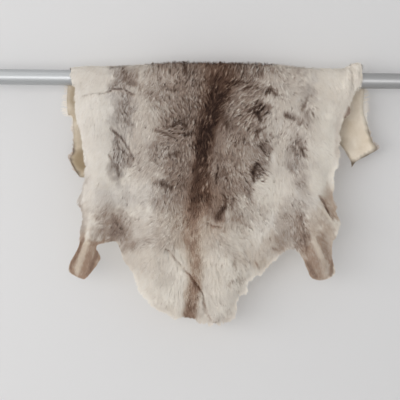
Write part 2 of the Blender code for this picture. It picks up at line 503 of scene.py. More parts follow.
@dataclass
class HideShape:
    """The flat cut of the skin, and how it hangs over the rail."""

    rail_radius: float
    spine_x: float = 0.797
    rail_clearance: float = 0.003
    stand_off: float = 0.012
    stand_off_drop: float = 0.14
    edge_curl: float = 0.010
    curl_width: float = 0.045
    hem_wave: float = 0.006
    hem_wave_length: float = 0.19
    hem_wave_phase: float = 1.3
    hem_wave_low: float = 0.25  # the wave grows from here down each drop
    hem_wave_high: float = 0.60
    ridge_arch: float = 0.007
    arch_near: float = 0.12
    arch_far: float = 0.30
    buckle_x: float = 0.435
    buckle_width: float = 0.030
    buckle_height: float = 0.019
    back_half: float = 0.10  # the deep coat of the back reaches this far from the spine
    flank_from: float = 0.36  # and the short coat of the flank starts here
    pile_spine: float = 0.024
    pile_flank: float = 0.013
    pile_edge: float = 0.0055
    pile_leg: float = 0.0070
    edge_taper: float = 0.055
    outline_pitch: float = 0.005
    room_round: float = 0.03  # the grids reach this far past the skin
    grid_pitch: float = 0.0025
    line: Array = field(init=False)
    low: Array = field(init=False)
    high: Array = field(init=False)
    edge: Grid = field(init=False)

    def __post_init__(self) -> None:
        """Draws the outline and measures the distance to it all over the skin."""
        self.bend_radius = self.rail_radius + self.rail_clearance
        self.bend = self.bend_radius * math.pi / 2
        self.line = self.rounded(self.corners(), self.outline_pitch)
        self.low = self.line.min(axis=0) - self.room_round
        self.high = self.line.max(axis=0) + self.room_round
        x, s = Grid.places(self.low, self.high, self.grid_pitch)
        points = np.stack([x.ravel(), s.ravel()], axis=1)
        gap = self.line_distance(points)
        gap[~self.inside(points)] *= -1
        self.edge = Grid(tuple(self.low), self.grid_pitch, gap.reshape(x.shape))

    def along(self, drop: Drop, down: float) -> float:
        """Turns a distance down a drop into the place along the skin."""
        return drop.value * (self.bend + down)

    def corners(self) -> list[tuple[float, float]]:
        """Lists the outline's corners as (x, s), once round."""
        left, right = RIDGE_ENDS
        front = [(x, self.along(Drop.FRONT, down)) for x, down in FRONT_EDGE]
        back = [(x, self.along(Drop.BACK, down)) for x, down in BACK_EDGE]
        return [left, *front, right, *back]

    @staticmethod
    def rounded(corners: list[tuple[float, float]], pitch: float) -> Array:
        """Draws a smooth closed line through the corners.

        Args:
            corners: the points that the line passes through.
            pitch: the most that its own points lie apart.

        Returns:
            The line's points, once round.
        """
        line = []
        count = len(corners)
        for i in range(count):
            before, here, after, beyond = (
                np.array(corners[(i + k) % count]) for k in (-1, 0, 1, 2)
            )
            steps = max(1, math.ceil(np.linalg.norm(after - here) / pitch))
            for t in np.arange(steps) / steps:
                line.append(
                    0.5
                    * (
                        2 * here
                        + (after - before) * t
                        + (2 * before - 5 * here + 4 * after - beyond) * t**2
                        + (3 * here - before - 3 * after + beyond) * t**3
                    )
                )
        return np.array(line)

    def inside(self, points: Array) -> Array:
        """Finds which points lie on the skin."""
        x, y = points[:, 0], points[:, 1]
        found = np.zeros(len(points), bool)
        for (x0, y0), (x1, y1) in zip(self.line, np.roll(self.line, -1, axis=0)):
            if y0 == y1:
                continue
            crosses = (y0 > y) != (y1 > y)
            found ^= crosses & (x < (x1 - x0) * (y - y0) / (y1 - y0) + x0)
        return found

    def line_distance(self, points: Array) -> Array:
        """Measures how far each point is from the outline."""
        nearest = np.full(len(points), np.inf)
        for start, end in zip(self.line, np.roll(self.line, -1, axis=0)):
            run = end - start
            t = np.clip((points - start) @ run / max(run @ run, 1e-12), 0.0, 1.0)
            gap = points - start - t[:, None] * run
            nearest = np.minimum(nearest, np.einsum("ij,ij->i", gap, gap))
        return np.sqrt(nearest)

    def flesh(self, x: Array, s: Array) -> Array:
        """Hangs places on the flat skin.

        Args:
            x: places across the skin.
            s: places along the skin.

        Returns:
            The points of the hanging flesh side.
        """
        angle = np.clip(s / self.bend_radius, -math.pi / 2, math.pi / 2)
        down = np.maximum(np.abs(s) - self.bend, 0.0)
        front = s > 0
        hang = smooth_step(down, 0.0, self.stand_off_drop)
        out = self.stand_off * hang
        out += np.where(
            front,
            sum(bent.height(x, down) for bent in FRONT_FOLDS + FRONT_CREASES),
            sum(fold.height(x, down) for fold in BACK_FOLDS),
        )
        to_edge = np.maximum(self.edge.at(x, s), 0.0)
        out -= self.edge_curl * hang * (1.0 - smooth_step(to_edge, 0.0, self.curl_width))
        wave = np.sin(2 * math.pi * x / self.hem_wave_length + self.hem_wave_phase)
        out += self.hem_wave * wave * smooth_step(down, self.hem_wave_low, self.hem_wave_high)
        lifts = 1.0 - smooth_step(np.abs(x), self.arch_near, self.arch_far)
        arch = self.ridge_arch * lifts
        buckle = np.exp(-(((x - self.buckle_x) / self.buckle_width) ** 4))
        arch += self.buckle_height * buckle
        upright = np.cos(angle)
        side = np.where(front, -1.0, 1.0)
        y = side * (self.bend_radius * np.abs(np.sin(angle)) + out)
        z = self.bend_radius * upright - down + arch * upright**2
        return np.stack([self.spine_x + x, y, z], axis=-1)

    def outward(self, x: Array, s: Array) -> Array:
        """Works out the direction in which the hair side faces at each place."""
        step = 0.002
        across = self.flesh(x + step, s) - self.flesh(x - step, s)
        along = self.flesh(x, s + step) - self.flesh(x, s - step)
        return unit(np.cross(along, across))

    def leg(self, x: Array, s: Array) -> Array:
        """Tells how far each place belongs to a hind leg, from 0 to 1."""
        down = s - self.bend
        return smooth_step(down, 0.44, 0.54) * smooth_step(np.abs(x), 0.24, 0.30)

    def pile(self, x: Array, s: Array) -> Array:
        """Works out how deep the lying coat is, over the flesh side."""
        from_spine = smooth_step(np.abs(x), self.back_half, self.flank_from)
        body = self.pile_spine + (self.pile_flank - self.pile_spine) * from_spine
        body = body + (self.pile_leg - body) * self.leg(x, s)
        deep = smooth_step(self.edge.at(x, s), 0.0, self.edge_taper)
        depth = self.pile_edge + (body - self.pile_edge) * deep
        for tuft in TUFTS:
            across = (x - tuft.x) / tuft.width
            along = (s - self.along(Drop.FRONT, tuft.down)) / tuft.length
            depth = depth + tuft.height * np.exp(-(across**2) - along**4)
        return np.maximum(depth, 0.5 * self.pile_edge)

    def flat_mesh(self, pitch: float, inset: Array) -> tuple[Array, Array]:
        """Fills the outline with triangles.

        Args:
            pitch: the spacing of the points inside it.
            inset: how far each point of the outline is drawn in.

        Returns:
            The points as (x, s), and the triangles as point numbers.
        """
        run = np.roll(self.line, -1, axis=0) - np.roll(self.line, 1, axis=0)
        run = unit(run)
        inward = np.stack([run[:, 1], -run[:, 0]], axis=1)
        test = self.edge.at(*(self.line + 0.003 * inward).T)
        inward[test < 0] *= -1
        rim = self.line + inward * inset[:, None]
        rows = np.arange(self.low[1], self.high[1], pitch * math.sqrt(3) / 2)
        offset = np.where(np.arange(len(rows)) % 2, pitch / 2, 0.0)
        across = np.arange(self.low[0], self.high[0], pitch)
        x = (across[None, :] + offset[:, None]).ravel()
        s = np.repeat(rows, len(across))
        keep = self.edge.at(x, s) > inset.max() + 0.55 * pitch
        points = np.concatenate([rim, np.stack([x[keep], s[keep]], axis=1)])
        ring = [(i, (i + 1) % len(rim)) for i in range(len(rim))]
        placed, _, faces, *_ = geometry.delaunay_2d_cdt(
            [Vector(p) for p in points], ring, [], 1, 1e-7
        )
        return np.array([tuple(p) for p in placed]), np.array([tuple(f) for f in faces])

    def sheet(self, name: str, flat: Array, faces: Array, points: Array) -> bpy.types.Mesh:
        """Makes the mesh of a layer that faces out to the hair side.

        Args:
            name: the mesh's name.
            flat: its points on the flat skin, as (x, s).
            faces: its triangles, as point numbers.
            points: its points as they hang.

        Returns:
            The mesh.
        """
        mesh = bpy.data.meshes.new(name)
        mesh.from_pydata(points.tolist(), [], faces.tolist())
        facing = np.array(mesh.polygons[0].normal)
        x, s = flat[faces[0][:1]].T
        if facing @ self.outward(x, s)[0] < 0:
            mesh.flip_normals()
        return mesh


# ------------------------------------------------------------- the coat's map


@dataclass(frozen=True)
class Marking:
    """A soft patch of coat colour: where it is, its half sizes and its pigment; a few are painted shade.

    Tone runs from 0, cream, to 1, near black, and warmth from 0, grey, to 1, brown.
    """

    x: float
    down: float
    rx: float
    ry: float
    tone: float
    warmth: float
    strength: float = 1.0
    soft: float = 0.55


FRONT_MARKINGS = (
    # the clouded ground on both sides of the saddle
    Marking(-0.215, 0.120, 0.075, 0.200, 0.28, 0.35, 0.80, 0.60),
    Marking(-0.190, 0.030, 0.030, 0.060, 0.44, 0.35, 0.75, 0.60),
    Marking(-0.205, 0.270, 0.035, 0.060, 0.34, 0.30, 0.70, 0.60),
    Marking(-0.205, 0.350, 0.030, 0.025, 0.40, 0.30, 0.70, 0.60),
    Marking(0.215, 0.150, 0.085, 0.160, 0.27, 0.30, 0.85, 0.60),
    Marking(0.245, 0.245, 0.020, 0.085, 0.38, 0.20, 0.70, 0.60),
    Marking(0.205, 0.095, 0.025, 0.022, 0.22, 0.45, 0.80, 0.60),
    Marking(0.195, 0.215, 0.018, 0.045, 0.22, 0.45, 0.80, 0.60),
    Marking(0.235, -0.005, 0.040, 0.050, 0.30, 0.35, 0.80, 0.60),
    Marking(0.310, 0.015, 0.045, 0.050, 0.27, 0.05, 0.80, 0.60),
    Marking(0.315, 0.055, 0.022, 0.020, 0.28, 0.20, 0.80, 0.60),
    # left flank
    Marking(-0.295, 0.130, 0.040, 0.190, 0.33, 0.10, 0.90, 0.45),
    Marking(-0.315, 0.075, 0.022, 0.060, 0.27, 0.05, 0.80, 0.50),
    Marking(-0.310, 0.000, 0.034, 0.044, 0.42, 0.15, 0.90, 0.50),
    Marking(-0.270, 0.000, 0.028, 0.038, 0.44, 0.35, 0.80, 0.60),
    Marking(-0.290, 0.100, 0.030, 0.035, 0.46, 0.10, 0.90, 0.50),
    Marking(-0.300, 0.270, 0.025, 0.040, 0.46, 0.10, 0.90, 0.60),
    Marking(-0.270, 0.265, 0.028, 0.022, 0.38, 0.15, 0.80, 0.60),
    # painted shade down the left edge, where the hide curves away from the light
    Marking(-0.405, 0.310, 0.022, 0.060, 0.30, 0.10, 0.80, 0.60),
    Marking(-0.410, 0.400, 0.022, 0.080, 0.34, 0.20, 0.80, 0.60),
    Marking(-0.315, 0.195, 0.012, 0.050, 0.48, 0.15, 0.80, 0.60),
    Marking(-0.390, 0.130, 0.060, 0.195, 0.11, 0.22, 0.95, 0.35),
    Marking(-0.395, 0.005, 0.045, 0.040, 0.15, 0.32, 0.90, 0.50),
    Marking(-0.300, 0.365, 0.150, 0.035, 0.08, 0.15, 0.85, 0.60),
    # marks in the saddle's left half
    Marking(-0.125, 0.160, 0.050, 0.035, 0.62, 0.45, 0.70, 0.70),
    Marking(-0.180, 0.225, 0.045, 0.025, 0.48, 0.25, 0.60, 0.75),
    Marking(-0.155, 0.335, 0.022, 0.018, 0.62, 0.25, 0.70, 0.70),
    Marking(-0.145, 0.380, 0.045, 0.030, 0.50, 0.45, 0.80, 0.60),
    Marking(-0.200, 0.375, 0.035, 0.028, 0.46, 0.15, 0.65, 0.75),
    # left thigh and leg
    Marking(-0.225, 0.500, 0.080, 0.065, 0.41, 0.35, 0.85, 0.60),
    Marking(-0.230, 0.560, 0.055, 0.035, 0.29, 0.40, 0.80, 0.60),
    Marking(-0.265, 0.375, 0.050, 0.035, 0.24, 0.15, 0.80, 0.60),
    Marking(-0.345, 0.385, 0.035, 0.045, 0.26, 0.10, 0.80, 0.60),
    Marking(-0.325, 0.460, 0.052, 0.060, 0.46, 0.45, 0.90, 0.60),
    Marking(-0.298, 0.475, 0.030, 0.032, 0.62, 0.45, 0.85, 0.70),
    Marking(-0.285, 0.480, 0.040, 0.030, 0.56, 0.40, 0.80, 0.60),
    Marking(-0.258, 0.505, 0.035, 0.026, 0.46, 0.35, 0.85, 0.60),
    Marking(-0.395, 0.560, 0.055, 0.075, 0.52, 0.95, 1.00, 0.30),
    # spots in the right half
    Marking(0.138, 0.105, 0.026, 0.026, 0.70, 0.40, 0.85, 0.70),
    Marking(0.132, 0.158, 0.015, 0.014, 0.62, 0.30, 0.80, 0.70),
    Marking(0.148, 0.212, 0.024, 0.026, 0.58, 0.35, 0.80, 0.70),
    Marking(0.125, 0.285, 0.022, 0.032, 0.60, 0.30, 0.85, 0.70),
    Marking(0.228, 0.118, 0.020, 0.010, 0.54, 0.15, 0.80, 0.70),
    Marking(0.250, 0.212, 0.026, 0.030, 0.52, 0.20, 0.80, 0.70),
    Marking(0.240, 0.268, 0.016, 0.022, 0.46, 0.15, 0.80, 0.70),
    Marking(0.272, 0.322, 0.022, 0.020, 0.42, 0.20, 0.80, 0.70),
    Marking(0.288, 0.045, 0.035, 0.036, 0.40, 0.15, 0.80, 0.60),
    Marking(0.288, 0.105, 0.020, 0.036, 0.44, 0.20, 0.85, 0.60),
    Marking(0.095, 0.330, 0.035, 0.025, 0.56, 0.40, 0.70, 0.70),
    Marking(0.185, 0.185, 0.014, 0.008, 0.52, 0.15, 0.80, 0.60),
    Marking(0.105, 0.355, 0.010, 0.016, 0.62, 0.30, 0.80, 0.60),
    Marking(0.085, 0.020, 0.040, 0.020, 0.68, 0.50, 0.85, 0.60),
    Marking(0.150, 0.040, 0.028, 0.014, 0.57, 0.40, 0.85, 0.65),
    Marking(0.175, 0.350, 0.050, 0.065, 0.08, 0.45, 0.95, 0.50),
    Marking(0.365, 0.155, 0.070, 0.240, 0.13, 0.45, 0.95, 0.35),
    Marking(0.350, 0.240, 0.035, 0.130, 0.02, 0.45, 0.95, 0.60),
    # painted shade at the right edge, where the hide curls away from the light
    Marking(0.380, 0.190, 0.018, 0.065, 0.25, 0.35, 0.85, 0.60),
    Marking(0.095, 0.120, 0.030, 0.060, 0.44, 0.50, 0.70, 0.70),
    Marking(0.062, 0.255, 0.040, 0.075, 0.44, 0.50, 0.75, 0.70),
    Marking(0.090, 0.275, 0.025, 0.035, 0.37, 0.50, 0.65, 0.70),
    Marking(0.318, 0.315, 0.035, 0.035, 0.04, 0.50, 0.80, 0.60),
    # right thigh and leg
    Marking(0.230, 0.460, 0.040, 0.070, 0.45, 0.35, 0.85, 0.60),
    Marking(0.260, 0.390, 0.035, 0.040, 0.26, 0.15, 0.80, 0.60),
    Marking(0.260, 0.510, 0.018, 0.030, 0.50, 0.25, 0.80, 0.60),
    Marking(0.185, 0.515, 0.038, 0.030, 0.40, 0.60, 0.80, 0.60),
    Marking(0.315, 0.545, 0.055, 0.095, 0.45, 0.75, 1.00, 0.30),
    Marking(0.265, 0.470, 0.025, 0.060, 0.54, 0.50, 0.80, 0.60),
    # the tan hollow of the right groin: tan coat, darkened further as painted shade
    Marking(0.352, 0.390, 0.036, 0.058, 0.45, 0.85, 0.95, 0.40),
    Marking(0.312, 0.430, 0.024, 0.035, 0.34, 0.60, 0.80, 0.60),
    Marking(0.345, 0.500, 0.018, 0.040, 0.34, 0.70, 0.80, 0.60),
    # rump
    Marking(0.060, 0.600, 0.050, 0.100, 0.04, 0.50, 0.80, 0.60),
    Marking(0.020, 0.520, 0.060, 0.030, 0.26, 0.40, 0.60, 0.70),
    Marking(0.060, 0.415, 0.090, 0.050, 0.38, 0.40, 0.70, 0.60),
    Marking(-0.005, 0.465, 0.060, 0.042, 0.38, 0.65, 0.80, 0.60),
    Marking(0.110, 0.540, 0.070, 0.035, 0.30, 0.55, 0.80, 0.60),
    Marking(0.150, 0.570, 0.030, 0.020, 0.27, 0.70, 0.80, 0.60),
    Marking(-0.215, 0.450, 0.060, 0.050, 0.22, 0.30, 0.80, 0.60),
    Marking(-0.170, 0.560, 0.070, 0.040, 0.14, 0.50, 0.70, 0.60),
    Marking(-0.090, 0.450, 0.085, 0.060, 0.34, 0.70, 0.70, 0.65),
    Marking(0.010, 0.390, 0.030, 0.030, 0.56, 0.70, 0.80, 0.60),
    Marking(0.012, 0.422, 0.026, 0.026, 0.66, 0.65, 0.90, 0.60),
)
BACK_MARKINGS = (
    Marking(-0.210, 0.150, 0.080, 0.060, 0.56, 0.30, 0.70, 0.60),
    Marking(0.215, 0.120, 0.070, 0.070, 0.52, 0.35, 0.70, 0.60),
    Marking(-0.110, 0.220, 0.035, 0.050, 0.66, 0.45, 0.70, 0.60),
    Marking(0.095, 0.260, 0.030, 0.045, 0.62, 0.40, 0.70, 0.60),
    Marking(0.000, 0.430, 0.200, 0.090, 0.08, 0.45, 0.85, 0.50),
    Marking(-0.425, 0.250, 0.050, 0.080, 0.48, 0.70, 0.90, 0.50),
    Marking(0.455, 0.215, 0.050, 0.060, 0.48, 0.65, 0.90, 0.50),
)


@dataclass(frozen=True)
class Stripe:
    """One place on the dark line along the spine: its middle, and its reach to each side."""

    down: float
    x: float
    left: float
    right: float
    tone: float


SPINE = (
    Stripe(-0.050, 0.010, 0.060, 0.055, 0.70),
    Stripe(0.000, 0.014, 0.048, 0.042, 0.80),
    Stripe(0.050, 0.006, 0.040, 0.038, 0.92),
    Stripe(0.100, -0.013, 0.031, 0.028, 0.98),
    Stripe(0.150, -0.024, 0.029, 0.028, 1.00),
    Stripe(0.200, -0.033, 0.028, 0.027, 1.00),
    Stripe(0.260, -0.038, 0.027, 0.024, 0.93),
    Stripe(0.320, -0.043, 0.030, 0.028, 0.88),
    Stripe(0.380, -0.044, 0.038, 0.044, 0.80),
    Stripe(0.430, -0.066, 0.028, 0.026, 0.64),
    Stripe(0.480, -0.070, 0.025, 0.025, 0.48),
    Stripe(0.560, -0.060, 0.022, 0.022, 0.43),
    Stripe(0.610, -0.056, 0.020, 0.021, 0.43),
    Stripe(0.650, -0.063, 0.018, 0.019, 0.46),
    Stripe(0.690, -0.071, 0.019, 0.018, 0.57),
    Stripe(0.730, -0.072, 0.024, 0.022, 0.66),
)
SADDLE = (
    Stripe(-0.050, -0.005, 0.215, 0.185, 0.55),
    Stripe(0.000, -0.005, 0.212, 0.182, 0.55),
    Stripe(0.065, 0.000, 0.200, 0.168, 0.54),
    Stripe(0.128, -0.020, 0.168, 0.160, 0.58),
    Stripe(0.190, -0.030, 0.156, 0.172, 0.57),
    Stripe(0.250, -0.035, 0.148, 0.180, 0.56),
    Stripe(0.310, -0.040, 0.138, 0.152, 0.58),
    Stripe(0.375, -0.045, 0.106, 0.112, 0.57),
    Stripe(0.430, -0.060, 0.088, 0.096, 0.44),
    Stripe(0.480, -0.060, 0.080, 0.084, 0.31),
    Stripe(0.540, -0.060, 0.060, 0.050, 0.16),
)
SADDLE_BEHIND = (
    Stripe(0.460, 0.000, 0.060, 0.060, 0.12),
    Stripe(0.360, 0.000, 0.100, 0.100, 0.24),
    Stripe(0.260, 0.000, 0.170, 0.170, 0.42),
    Stripe(0.120, 0.000, 0.230, 0.230, 0.52),
)
SPINE_BEHIND = (
    Stripe(0.490, 0.000, 0.020, 0.020, 0.14),
    Stripe(0.350, 0.010, 0.028, 0.028, 0.36),
    Stripe(0.180, 0.014, 0.040, 0.040, 0.66),
    Stripe(0.070, 0.008, 0.055, 0.055, 0.72),
)


@dataclass(frozen=True)
class Parting:
    """A line down which the coat opens: its darker roots show, and painted shade is drawn into the
    opening.
    """

    x0: float
    down0: float
    x1: float
    down1: float
    half_width: float = 0.0022


PARTINGS = (
    # across the left flank
    Parting(-0.410, 0.060, -0.345, 0.052, 0.0008),
    Parting(-0.345, 0.052, -0.322, 0.041, 0.0014),
    Parting(-0.322, 0.041, -0.303, 0.036, 0.0018),
    Parting(-0.303, 0.036, -0.282, 0.041, 0.0020),
    Parting(-0.282, 0.041, -0.250, 0.056, 0.0022),
    # the long tuck of the rump
    Parting(-0.150, 0.525, -0.095, 0.585, 0.0018),
    Parting(-0.095, 0.585, -0.040, 0.655, 0.0026),
    Parting(-0.040, 0.655, -0.028, 0.710, 0.0028),
    Parting(-0.028, 0.710, 0.004, 0.755, 0.0026),
    # below the saddle
    Parting(-0.020, 0.443, -0.008, 0.453, 0.0020),
    Parting(-0.008, 0.453, 0.022, 0.458, 0.0014),
    # right groin
    Parting(0.325, 0.380, 0.350, 0.425, 0.0018),
)


@dataclass(frozen=True)
class Stroke:
    """A short line of darker or paler hair on the front drop; some are painted shade and painted
    highlights.
    """

    x0: float
    down0: float
    x1: float
    down1: float
    half_width: float
    tone: float
    strength: float = 0.85


STROKES = (
    # left flank
    Stroke(-0.330, -0.030, -0.300, -0.032, 0.0030, 0.62),
    Stroke(-0.300, -0.032, -0.285, -0.050, 0.0030, 0.62),
    Stroke(-0.290, 0.000, -0.250, 0.022, 0.0090, 0.58),
    Stroke(-0.320, 0.165, -0.290, 0.190, 0.0030, 0.78),
    Stroke(-0.290, 0.190, -0.250, 0.250, 0.0026, 0.78),
    Stroke(-0.306, 0.200, -0.302, 0.222, 0.0026, 0.70),
    Stroke(-0.302, 0.220, -0.248, 0.252, 0.0022, 0.72),
    Stroke(-0.330, 0.240, -0.305, 0.285, 0.0030, 0.58),
    Stroke(-0.306, 0.266, -0.300, 0.306, 0.0022, 0.70),
    # the saddle's left half
    Stroke(-0.155, 0.040, -0.120, 0.042, 0.0030, 0.78),
    Stroke(-0.105, -0.040, -0.092, -0.010, 0.0045, 0.86),
    Stroke(-0.185, 0.165, -0.155, 0.172, 0.0022, 0.82),
    Stroke(-0.155, 0.172, -0.125, 0.192, 0.0026, 0.86),
    Stroke(-0.090, 0.178, -0.065, 0.170, 0.0030, 0.95),
    Stroke(-0.135, 0.150, -0.115, 0.135, 0.0034, 0.92, 0.8),
    Stroke(-0.115, 0.135, -0.090, 0.152, 0.0034, 0.92, 0.8),
    Stroke(-0.145, 0.238, -0.115, 0.230, 0.0030, 0.86),
    Stroke(-0.165, 0.325, -0.140, 0.338, 0.0055, 0.84),
    # beside the spine: the pale wedge and the lines under it
    Stroke(0.014, 0.095, 0.036, 0.150, 0.0080, 0.84, 0.7),
    Stroke(0.012, 0.140, 0.010, 0.185, 0.0060, 0.60, 0.6),
    Stroke(0.010, 0.185, 0.004, 0.240, 0.0110, 0.58, 0.45),
    Stroke(0.004, 0.232, 0.022, 0.240, 0.0034, 0.74, 0.5),
    Stroke(-0.020, 0.250, -0.006, 0.236, 0.0038, 0.50, 0.6),
    Stroke(0.008, 0.270, 0.004, 0.325, 0.0026, 0.88, 0.8),
    Stroke(0.020, 0.355, 0.031, 0.368, 0.0028, 0.82),
    Stroke(0.031, 0.368, 0.031, 0.400, 0.0030, 0.80),
    Stroke(0.047, 0.372, 0.051, 0.402, 0.0026, 0.72),
    # the dark hollow under them
    Stroke(0.008, 0.428, 0.024, 0.402, 0.0065, 0.86, 0.9),
    Stroke(0.004, 0.436, 0.018, 0.430, 0.0050, 0.76, 0.8),
    Stroke(0.030, 0.018, 0.080, 0.010, 0.0036, 0.92, 0.8),
    Stroke(0.160, 0.032, 0.180, 0.050, 0.0034, 0.84),
    # curls and the pale fold of the rump
    Stroke(0.034, 0.485, 0.086, 0.542, 0.0060, 0.12, 0.7),
    Stroke(0.070, 0.440, 0.112, 0.456, 0.0022, 0.55, 0.6),
    Stroke(0.054, 0.560, 0.060, 0.588, 0.0024, 0.55, 0.7),
    Stroke(0.034, 0.636, 0.046, 0.620, 0.0022, 0.50, 0.7),
    Stroke(0.046, 0.620, 0.060, 0.626, 0.0018, 0.45, 0.7),
    Stroke(0.066, 0.606, 0.074, 0.636, 0.0026, 0.42, 0.7),
    Stroke(0.124, 0.560, 0.136, 0.580, 0.0022, 0.55, 0.7),
    Stroke(0.090, 0.554, 0.108, 0.568, 0.0022, 0.45, 0.7),
    Stroke(0.176, 0.518, 0.190, 0.524, 0.0034, 0.60, 0.7),
    # the spots of the right half
    Stroke(0.098, 0.106, 0.140, 0.080, 0.0026, 0.96),
    Stroke(0.115, 0.100, 0.135, 0.130, 0.0050, 0.98),
    Stroke(0.210, 0.112, 0.228, 0.120, 0.0032, 0.88, 0.90),
    Stroke(0.224, 0.117, 0.246, 0.128, 0.0018, 0.84, 0.80),
    Stroke(0.255, 0.142, 0.266, 0.132, 0.0026, 0.72),
    Stroke(0.122, 0.166, 0.136, 0.158, 0.0042, 0.84, 0.80),
    Stroke(0.136, 0.160, 0.152, 0.148, 0.0022, 0.84, 0.70),
    Stroke(0.130, 0.205, 0.150, 0.235, 0.0040, 0.82),
    Stroke(0.262, 0.215, 0.272, 0.235, 0.0045, 0.76),
    Stroke(0.122, 0.262, 0.110, 0.290, 0.0060, 0.94, 0.90),
    Stroke(0.110, 0.288, 0.116, 0.318, 0.0034, 0.96),
    Stroke(0.130, 0.280, 0.158, 0.300, 0.0018, 0.80, 0.80),
    Stroke(0.264, 0.100, 0.282, 0.055, 0.0028, 0.66),
    Stroke(0.284, 0.062, 0.274, 0.100, 0.0020, 0.10, 0.75),
    # the crease beside the roll, darkened as painted shade, and the turned dark corner under it
    Stroke(0.417, -0.040, 0.416, 0.032, 0.0024, 0.20, 0.7),
    Stroke(0.410, 0.090, 0.400, 0.118, 0.0065, 0.62, 0.95),
    Stroke(0.422, 0.104, 0.402, 0.134, 0.0030, 0.02, 0.95),
    # the left edge, drawn darker as painted shade where it turns away from the light
    Stroke(-0.412, 0.270, -0.420, 0.395, 0.0100, 0.42, 0.8),
    Stroke(-0.415, 0.400, -0.405, 0.500, 0.0090, 0.44, 0.8),
    # left leg: a painted highlight down its crown, between sides drawn darker, partly brown hair and
    # partly painted shade
    Stroke(-0.382, 0.420, -0.392, 0.512, 0.0048, 0.13, 0.88),
    Stroke(-0.392, 0.512, -0.420, 0.600, 0.0090, 0.22, 0.85),
    Stroke(-0.378, 0.528, -0.366, 0.565, 0.0080, 0.34, 0.60),
    Stroke(-0.400, 0.500, -0.442, 0.590, 0.0050, 0.66, 0.7),
    Stroke(-0.360, 0.535, -0.388, 0.608, 0.0060, 0.64, 0.7),
    # right leg, the same: a painted highlight down its crown between darker sides, with a brown end
    Stroke(0.292, 0.455, 0.305, 0.497, 0.0045, 0.26, 0.70),
    Stroke(0.303, 0.495, 0.332, 0.560, 0.0070, 0.17, 0.80),
    Stroke(0.332, 0.560, 0.338, 0.600, 0.0080, 0.32),
    Stroke(0.263, 0.425, 0.285, 0.525, 0.0050, 0.60, 0.7),
    Stroke(0.288, 0.565, 0.310, 0.605, 0.0070, 0.66, 0.7),
    Stroke(0.360, 0.562, 0.356, 0.600, 0.0050, 0.64, 0.7),
    # right groin: the turned pale edge, and the tan hollow above it with a line of painted shadow in its
    # trough
    Stroke(0.315, 0.360, 0.362, 0.440, 0.0030, 0.62),
    Stroke(0.296, 0.362, 0.380, 0.466, 0.0055, 0.12, 0.90),
)


@dataclass(frozen=True)
class Tousle:
    """A patch of tousled coat: short bent wisps, each with a dark side of darker hair and painted shade,
    and a pale side of painted highlight.

    The wisps lie at an angle, in degrees from the tail towards the right.
    """

    x: float
    down: float
    rx: float
    ry: float
    wisps: int
    lie: float
    spread: float
    length: float
    # how far a wisp darkens, as darker hair and painted shade, and how far its lit side pales, as painted
    # highlight
    dark: float
    pale: float


